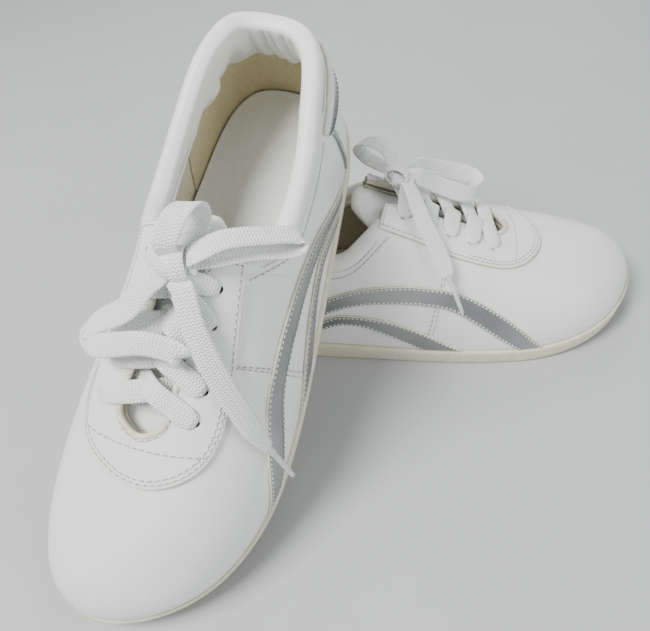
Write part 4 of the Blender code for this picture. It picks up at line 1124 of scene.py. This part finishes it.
def collar_seam():
    """The collar's seam from under the inner end of the lace stay round the heel to the outer one."""
    rear = {side: mark_line(side, COLLAR_REAR) for side in (OUTER, INNER)}
    outer = rear[OUTER][::-1] + mark_line(OUTER, (COLLAR_END[OUTER], *COLLAR_OUTER))[::-1]
    inner = rear[INNER][::-1] + mark_line(INNER, (COLLAR_END[INNER], *COLLAR_INNER))[::-1]
    return around_heel(inner, HEEL_TOP, outer)


def side_patch(side):
    """From the seam with the vamp back to the heel panel; the top runs along throat and collar."""
    throat = [seen_from_above(x, y) for x, y in {OUTER: THROAT_OUTER[::-1], INNER: THROAT_INNER}[side]]
    throat = [swapped(mark) if side == INNER else mark for mark in throat]
    edge = (COLLAR_END[side], *{OUTER: COLLAR_OUTER, INNER: COLLAR_INNER}[side])
    collar = mark_line(side, [(x, z + COLLAR_LAP) for x, z in edge])
    throat[0] = shifted(throat[:1], -side * SEAM_LAP)[0]
    collar[-1] = shifted(collar[-1:], side * SEAM_LAP)[0]
    foot = shifted([SEAM_FOOT[side]], -side * SEAM_LAP)[0]
    heel = shifted([BACK_FOOT[side]], side * SEAM_LAP)[0]
    top = line((4, throat), (1, [throat[-1], collar[0]]), (7, collar))
    return between(level_line(foot, heel), top)


def smoothed(values, reach):
    """Rows averaged with their neighbours, without drawing in at the ends."""
    window = np.hanning(2 * reach + 1)
    window /= window.sum()
    padded = np.pad(values, ((reach, reach), (0, 0)), "edge")
    return np.stack([np.convolve(column, window, "valid") for column in padded.T], 1)


def collar_frame():
    """Along the collar's seam: its points, the ways up and out, the section's size and the heel's place."""
    share = np.linspace(0, 1, 600)
    marks = collar_seam()(share)
    foot = stand_off(marks, 0.0)
    out, above, along = (smoothed(values, 11) for values in (
        stand_off(marks, 1.0) - foot, stand_off(marks + (0, 0.01), 0.0) - foot, np.gradient(foot, axis=0)))
    # Both ends run on under the lace stay, closing as they go.
    step = np.linalg.norm(along, axis=1)[[0, -1]]
    reach = np.arange(1, TUCK_STEPS + 1)[:, None] * TUCK_STEP
    foot = np.vstack([foot[:1] - along[:1] / step[0] * reach[::-1], foot,
                      foot[-1:] + along[-1:] / step[1] * reach])
    out, above, along = (np.pad(values, ((TUCK_STEPS, TUCK_STEPS), (0, 0)), "edge")
                         for values in (out, above, along))
    size = np.ones(len(foot))
    size[:TUCK_STEPS] = np.sqrt(1 - (reach[::-1, 0] / (TUCK_STEP * TUCK_STEPS)) ** 2) * 0.92 + 0.05
    size[-TUCK_STEPS:] = size[:TUCK_STEPS][::-1]
    out = directions(out)
    along = directions(along - out * (along * out).sum(1)[:, None])
    above = above - out * (above * out).sum(1)[:, None]
    above = directions(above - along * (above * along).sum(1)[:, None])
    return foot, above, out, size, np.abs(share - 0.5).argmin() + TUCK_STEPS


def collar_grid():
    """The padded collar's skin as (along, around) points, gathered on its inside and creased at the heel."""
    foot, above, out, size, heel_at = collar_frame()
    run = lengths_along(foot)
    x = run - run[heel_at]
    section = curve_through(COVER_SECTION, 64)
    s = np.linspace(0, 1, 64)
    rise, depth = section.T
    inside = np.clip((s - 0.45) / 0.3, 0, 1) ** 2
    hem = np.clip((s - 0.7) / 0.3, 0, 1) ** 1.5
    forward = np.clip((np.abs(x) - 50) / 70, 0, 1)
    forward = forward ** 2 * (3 - 2 * forward)
    gathers = (0.8 * np.sin(x / 2.1 + 1.3 * np.sin(x / 7.3)) + 0.5 * np.sin(x / 3.7 + 0.7)
               + 0.6 * np.sin(x / 6.1 + 2.0))
    scallop = 3.4 * np.abs(np.sin(x / 9.5 + 0.5 * np.sin(x / 13.0))) - 1.6
    heel = np.exp(-(x / 26) ** 2)
    waves = 1.5 * np.sin(x / 4.6 + 0.8 * np.sin(x / 17.0)) + 0.9 * np.sin(x / 2.9 + 1.1)
    waves *= np.clip(1.3 - forward, 0, 1)
    waves *= np.where(x < 0, 1.0, 0.55) * np.clip((np.abs(x) - 12) / 20, 0, 1)
    creases = sum(deep * np.exp(-((x - place) / wide) ** 2) for place, deep, wide in
                  ((-6.5, 3.2, 1.5), (-2.0, 2.2, 1.1), (5.5, 2.8, 1.5), (12.0, 1.6, 1.8), (-14.0, 1.5, 2.0)))
    down = np.clip((s - 0.36) / 0.2, 0, 1) * np.clip((1.1 - s) / 0.3, 0, 1)
    drop = np.where(s > 0.5, np.clip(rise.max() - rise, 0, None), 0)
    rise_at = (rise[None] + drop[None] * (0.55 * forward)[:, None] + scallop[:, None] * hem[None]
               + (gathers * 0.35)[:, None] * hem[None])
    folds = gathers * 0.42 * (0.7 + 0.5 * heel) + waves
    depth_at = (depth[None] * (1 - 0.42 * forward * inside[None].T).T
                + folds[:, None] * inside[None] - creases[:, None] * down[None])
    middle = np.array([3.0, 4.0])
    rise_at = middle[0] + (rise_at - middle[0]) * size[:, None]
    depth_at = middle[1] + (depth_at - middle[1]) * size[:, None]
    grid = foot[:, None] + above[:, None] * rise_at[..., None] - out[:, None] * depth_at[..., None]
    uv = np.stack(np.broadcast_arrays(run[:, None], (s * 60)[None]), -1)
    return grid, uv


def make_collar():
    grid, uv = collar_grid()
    rows, columns = grid.shape[:2]
    normal = np.cross(np.gradient(grid, axis=0), np.gradient(grid, axis=1))
    normal /= np.linalg.norm(normal, axis=-1)[..., None] + 1e-9
    middle = grid[rows // 2, columns // 3]
    foam_side = stand_off(collar_seam()(np.array([0.5])), -4.0)[0]
    inner = grid + normal * COLLAR_SKIN
    if np.linalg.norm(inner[rows // 2, columns // 3] - foam_side) > np.linalg.norm(middle - foam_side):
        inner = grid - normal * COLLAR_SKIN
    faces = two_faced(rows, columns)[0]
    collar = piece("padded_collar", np.vstack([grid.reshape(-1, 3), inner.reshape(-1, 3)]), faces,
                   ["soft_leather"], "shoe", uv=np.tile(uv.reshape(-1, 2), (2, 1)))
    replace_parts(collar, SHOE["prefix"] + "collar_cover", SHOE["prefix"] + "collar_foam")


def make_tongue():
    def place(u, v, out):
        rear = TONGUE_ENDS[0] + 2.5 + 7.0 * np.abs(2 * v - 1) ** 4
        x = rear + (TONGUE_ENDS[1] - rear) * u
        low, high = profile(x, TONGUE_SHOWN_OUTER), profile(x, TONGUE_SHOWN_INNER)
        corner = np.clip((130 - x) / 30, 0, 1) * np.clip((0.5 - v) / 0.5, 0, 1) ** 2
        return roof(x, low + (high - low) * v, out - 3.4 * corner)

    def plump(u, v):
        edge = np.minimum(1, 12 * np.minimum(u, 0.3)) * np.sin(math.pi * np.clip(v, 0, 1)) ** 0.5
        return 1.8 * edge * np.clip(1.3 - 3 * u, 0, 1)

    def inset(u, v, out):
        return place(0.05 + 0.92 * u, 0.09 + 0.82 * v, out)

    top = -TONGUE_DEPTH
    tongue = sheet("padded_tongue", place, top, TONGUE_PAD, (110, 44), ["soft_leather"], body="tongue",
                   lip=2.2, puff=plump)
    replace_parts(tongue, SHOE["prefix"] + "tongue_face")
    lining = sheet("tongue_lining", inset, top - BACKING_FROM, BACKING_TO - BACKING_FROM, (60, 24),
                   ["canvas"], body="tongue", lip=0.3)
    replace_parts(lining, SHOE["prefix"] + "tongue_foam")


def unit(vector):
    vector = np.asarray(vector, float)
    return vector / np.linalg.norm(vector)


def into_eyelet(x, y, level):
    """The last points of a lace that dives into an eyelet: (x, y, height, width, thickness)."""
    return [(x, y, level * 0.6, 5.2, 1.9), (x, y, 0.4, 3.2, 2.2), (x, y, -2.6, 3.0, 2.2)]


def laid(name, start, end, heights, widths, shares):
    """A lace over the instep between two plan points, ending in the eyelet at `end`."""
    start, end = np.array(start, float), np.array(end, float)
    away = unit(end - start)
    rows = [(*(start + (end - start) * share), height, width, 1.5)
            for share, height, width in zip(shares, heights, widths)]
    rows.append((*(end - away * 1.3), heights[-1] * 0.92, 7.2, 1.7))
    rows = np.array(rows + into_eyelet(*(end - away * 0.3), heights[-1]))
    return over_instep(name, rows, away, 0.14)


def over_instep(name, rows, away, cup):
    points = roof(*rows[:, :3].T)
    middle = len(rows) // 2
    up = roof(*rows[middle, :2], 1.0)[0] - roof(*rows[middle, :2], 0.0)[0]
    return ribbon(name, points, unit(np.cross([*away, 0.0], up)), rows[:, 3], rows[:, 4], cup=cup)[0]


def make_rows():
    made = []
    for side, under, ends, crossing in (("to_outer", EYELETS_INNER, EYELETS_OUTER, 2.6),
                                        ("to_inner", EYELETS_OUTER, EYELETS_INNER, 0.5)):
        pairs = zip(under[1:], ends[:-1]) if SHOE["forward"] else zip(under, ends[1:])
        for k, (start, end) in enumerate(pairs):
            made.append(laid("lace_%s_%d" % (side, k + 1), start, end, (-4.0, -3.4, crossing, 2.7, 2.8),
                             (6.5, 8.2, TAPE_SHOWN, TAPE_SHOWN, 8.9), (0.08, 0.26, 0.52, 0.74, 0.91)))
    front = np.array([EYELETS_OUTER[-1], EYELETS_INNER[-1]])
    away = unit(front[1] - front[0])
    if SHOE["forward"]:
        dive = into_eyelet(*(front[1] - away * 0.3), 2.8)
        rise = into_eyelet(*(front[0] + away * 0.3), 2.8)[::-1]
        plan = front[0] + (front[1] - front[0]) * np.array([0.06, 0.2, 0.5, 0.8, 0.94])[:, None]
        flat = [(*place, high, wide, 1.5) for place, high, wide in
                zip(plan, (2.8, 2.9, 2.2, 2.9, 2.8), (8.0, 8.8, 8.6, 8.8, 8.0))]
        made.append(over_instep("lace_front_bar", np.array(rise + flat + dive), away, 0.14))
    else:
        plan = front[0] + (front[1] - front[0]) * np.linspace(0.12, 0.88, 7)[:, None]
        flat = np.array([(*place, -3.6, 7.0, 1.2) for place in plan])
        made.append(over_instep("lace_front_bar", flat, away, 0.0))
    centre = np.array(SHOE["knot"], float)
    lift = centre[2] - roof(centre[0], centre[1], 0.0)[0][2]
    for side, eyelets in (("outer", EYELETS_OUTER), ("inner", EYELETS_INNER)):
        for k, (x, y) in enumerate(eyelets[:2 if side == "outer" and not SHOE["forward"] else 1]):
            away = unit(np.array([x, y]) - centre[:2])
            far = np.linalg.norm(np.array([x, y]) - centre[:2])
            rows = [(*(centre[:2] + away * 2.0), lift, 6.0, 1.6),
                    (*(centre[:2] + away * 5.0), lift - 0.4, 7.0, 1.5),
                    (*(centre[:2] + away * far * 0.62), lift * 0.35 + 2.2, 7.8, 1.5),
                    (*(np.array([x, y]) - away * 1.5), 2.8, 6.6, 1.7)]
            rows = np.array(rows + into_eyelet(x - away[0] * 0.3, y - away[1] * 0.3, 2.6))
            made.append(over_instep("lace_%s_strap_%d" % (side, k + 1), rows, away, 0.16))
    made += make_knot(centre)
    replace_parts(made[0], SHOE["prefix"] + "lacing")


def make_knot(centre):
    """Two turns of lace wrapped round the crossing, with the gathered lace between them."""
    up = unit(roof(centre[0], centre[1], 1.0)[0] - roof(centre[0], centre[1], 0.0)[0])
    along = unit(np.cross((0.0, 1.0, 0.0), up))
    side = np.cross(up, along)
    made = []
    turns = ((-1.4, 0.32, 5.8, 4.4, 7.2), (2.0, -0.48, 5.0, 4.0, 6.0))
    for k, (shift, tilt, long, high, wide) in enumerate(turns):
        axis = unit(side + along * tilt)
        other = unit(np.cross(axis, up))
        angle = np.linspace(0.3, 2 * math.pi + 0.2, 15)
        path = (centre + side * shift - up * 0.6 + other[None] * (long * np.cos(angle))[:, None]
                + up[None] * (high * np.sin(angle))[:, None]
                + axis[None] * (0.9 * (angle - math.pi) / 3)[:, None])
        made.append(ribbon("knot_turn_%d" % (k + 1), path, axis, wide, 1.5, cup=0.5)[0])
    reach = np.linspace(-8, 8, 9)
    path = centre + side * reach[:, None] - up * (0.8 + 0.02 * reach ** 2)[:, None]
    width = np.array([5.5, 6.0, 6.2, 6.0, 5.8, 6.0, 6.2, 6.0, 5.5])
    made.append(ribbon("knot_core", path, along, width, 4.6)[0])
    return made


def make_bow():
    """The loops and the loose ends, each a free flat lace that starts inside the knot."""
    centre = np.array(SHOE["knot"], float)
    prefix = SHOE["prefix"]
    for name, route in SHOE["routes"].items():
        route = np.array(route, float)
        knot = centre + (0, 0, -1.0)
        lead = [knot + (route[0] - knot) * share for share in (0.15, 0.55)]
        if name.endswith("loop"):
            tail = [knot + (route[-1] - knot) * share for share in (0.55, 0.15)]
            path = np.vstack([lead, route, tail])
            across = np.broadcast_to(unit(SHOE["loops"][name]), path.shape).copy()
        else:
            path = np.vstack([lead, route])
            up = roof(path[:, 0], path[:, 1], 1.0) - roof(path[:, 0], path[:, 1], 0.0)
            across = directions(np.cross(np.gradient(path, axis=0), up))
            for k in range(1, len(across)):
                if across[k] @ across[k - 1] < 0:
                    across[k] *= -1
        width = np.full(len(path), TAPE_SHOWN)
        width[:2] = 5.0, 7.4
        if name.endswith("loop"):
            width[-2:] = 7.4, 5.0
            with_pieces, far = [], "object"
        else:
            width[-1] = 5.0
            tip = make_tip(name, path[-1], unit(path[-1] - path[-2]), across[-1])
            with_pieces, far = [tip], "fitting"
        made, line_points = ribbon("bow_" + name, path, across, width, 1.3, cup=0.1)
        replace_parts(made, prefix + "lace_" + name)
        walk = to_pair(line_points)
        tuple(walk[0])
        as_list(with_pieces)


def make_tip(name, start, along, across):
    """A clear sleeve rolled round the lace's pinched end."""
    steps = np.linspace(0, 1, 9)
    path = start + along * (TIP_LENGTH + 2.5) * steps[:, None] - along * 1.5
    width = np.array([3.6, 2.6, 2.15, 2.1, 2.1, 2.1, 2.05, 1.95, 1.7])
    deep = np.array([1.8, 1.9, 1.95, 1.95, 1.95, 1.95, 1.9, 1.85, 1.6])
    tip, _ = ribbon("sleeve_" + name.replace("_end", ""), path, across, width, deep,
                    look="tip")
    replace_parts(tip, SHOE["prefix"] + "tip_" + name.replace("_end", ""))
    return tip


def make_shoe(prefix, place, mirrored, knot, loops, forward, routes):
    origin, turn = place
    SHOE.update(prefix=prefix, mirrored=mirrored, knot=knot, loops=loops, forward=forward, routes=routes,
                threads=[], holes=[],
                origin=np.array([origin[0] - PAIR_CENTRE[0], origin[1] - PAIR_CENTRE[1], origin[2]]),
                turn=np.array(Euler([math.radians(angle) for angle in turn]).to_matrix()))
    make_sole()
    make_upper()
    make_collar()
    make_tongue()
    make_rows()
    make_bow()
    sew_upper()
    sew()


# ---------------------------------------------------------------- the room

def area_light(name, place, aim, size, power, colour=(1, 1, 1)):
    light = bpy.data.lights.new(name, "AREA")
    light.shape, light.size, light.energy, light.color = "DISK", size, power, colour
    lamp = placed(name, light)
    lamp.location = place
    lamp.rotation_euler = (Vector(aim) - Vector(place)).to_track_quat("-Z", "Y").to_euler()


def make_room():
    bm = bmesh.new()
    bmesh.ops.create_grid(bm, x_segments=1, y_segments=1, size=3.0)
    mesh = bpy.data.meshes.new("floor")
    bm.to_mesh(mesh)
    bm.free()
    mesh.materials.append(plain("floor_look", (0.50, 0.51, 0.52), (0.48, 0.49, 0.50), 0.8, 8.0, 0.05))
    floor = placed("floor", mesh)
    floor.location = (0, 0, -FLOOR_DROP)
    world = bpy.context.scene.world = bpy.data.worlds.new("studio")
    world.use_nodes = True
    background = world.node_tree.nodes["Background"].inputs
    background["Color"].default_value = (0.80, 0.83, 0.86, 1)
    background["Strength"].default_value = 0.5
    area_light("key", (-0.55, -0.35, 1.0), (0, 0, 0.05), 0.5, 20.0, (1.0, 0.99, 0.97))
    area_light("fill", (0.9, -0.5, 0.6), (0, 0, 0.05), 0.7, 6.0, (0.96, 0.98, 1.0))
    area_light("rim", (0.1, 0.9, 0.7), (0, 0, 0.05), 0.5, 4.0)


def make_camera():
    camera = bpy.data.cameras.new("camera")
    camera.sensor_width, camera.lens = 36.0, CAMERA_FOCAL
    camera.clip_start, camera.clip_end = 0.01, 20.0
    made = placed("camera", camera)
    ahead, right = Vector(CAMERA_AHEAD).normalized(), Vector(CAMERA_RIGHT).normalized()
    up = right.cross(ahead)
    turn = Matrix((right, up, -ahead)).transposed()
    made.matrix_world = Matrix.Translation(Vector(CAMERA_PLACE)) @ turn.to_4x4()
    bpy.context.scene.camera = made


INNER_LOOKS = {"midsole": "foam", "shank": "steel", "insole_board": "board", "toe_puff": "stiffener",
               "heel_counter": "stiffener"}

make_camera()
make_shoe("right_", RIGHT_PLACE, False, RIGHT_KNOT, RIGHT_LOOPS, True, RIGHT_ROUTES)
make_shoe("left_", LEFT_PLACE, True, LEFT_KNOT, LEFT_LOOPS, False, LEFT_ROUTES)
for node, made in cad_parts.items():
    look = INNER_LOOKS.get(node.split("_", 1)[1])
    if look:
        made.data.materials.clear()
        made.data.materials.append(MATERIALS[look])
make_room()
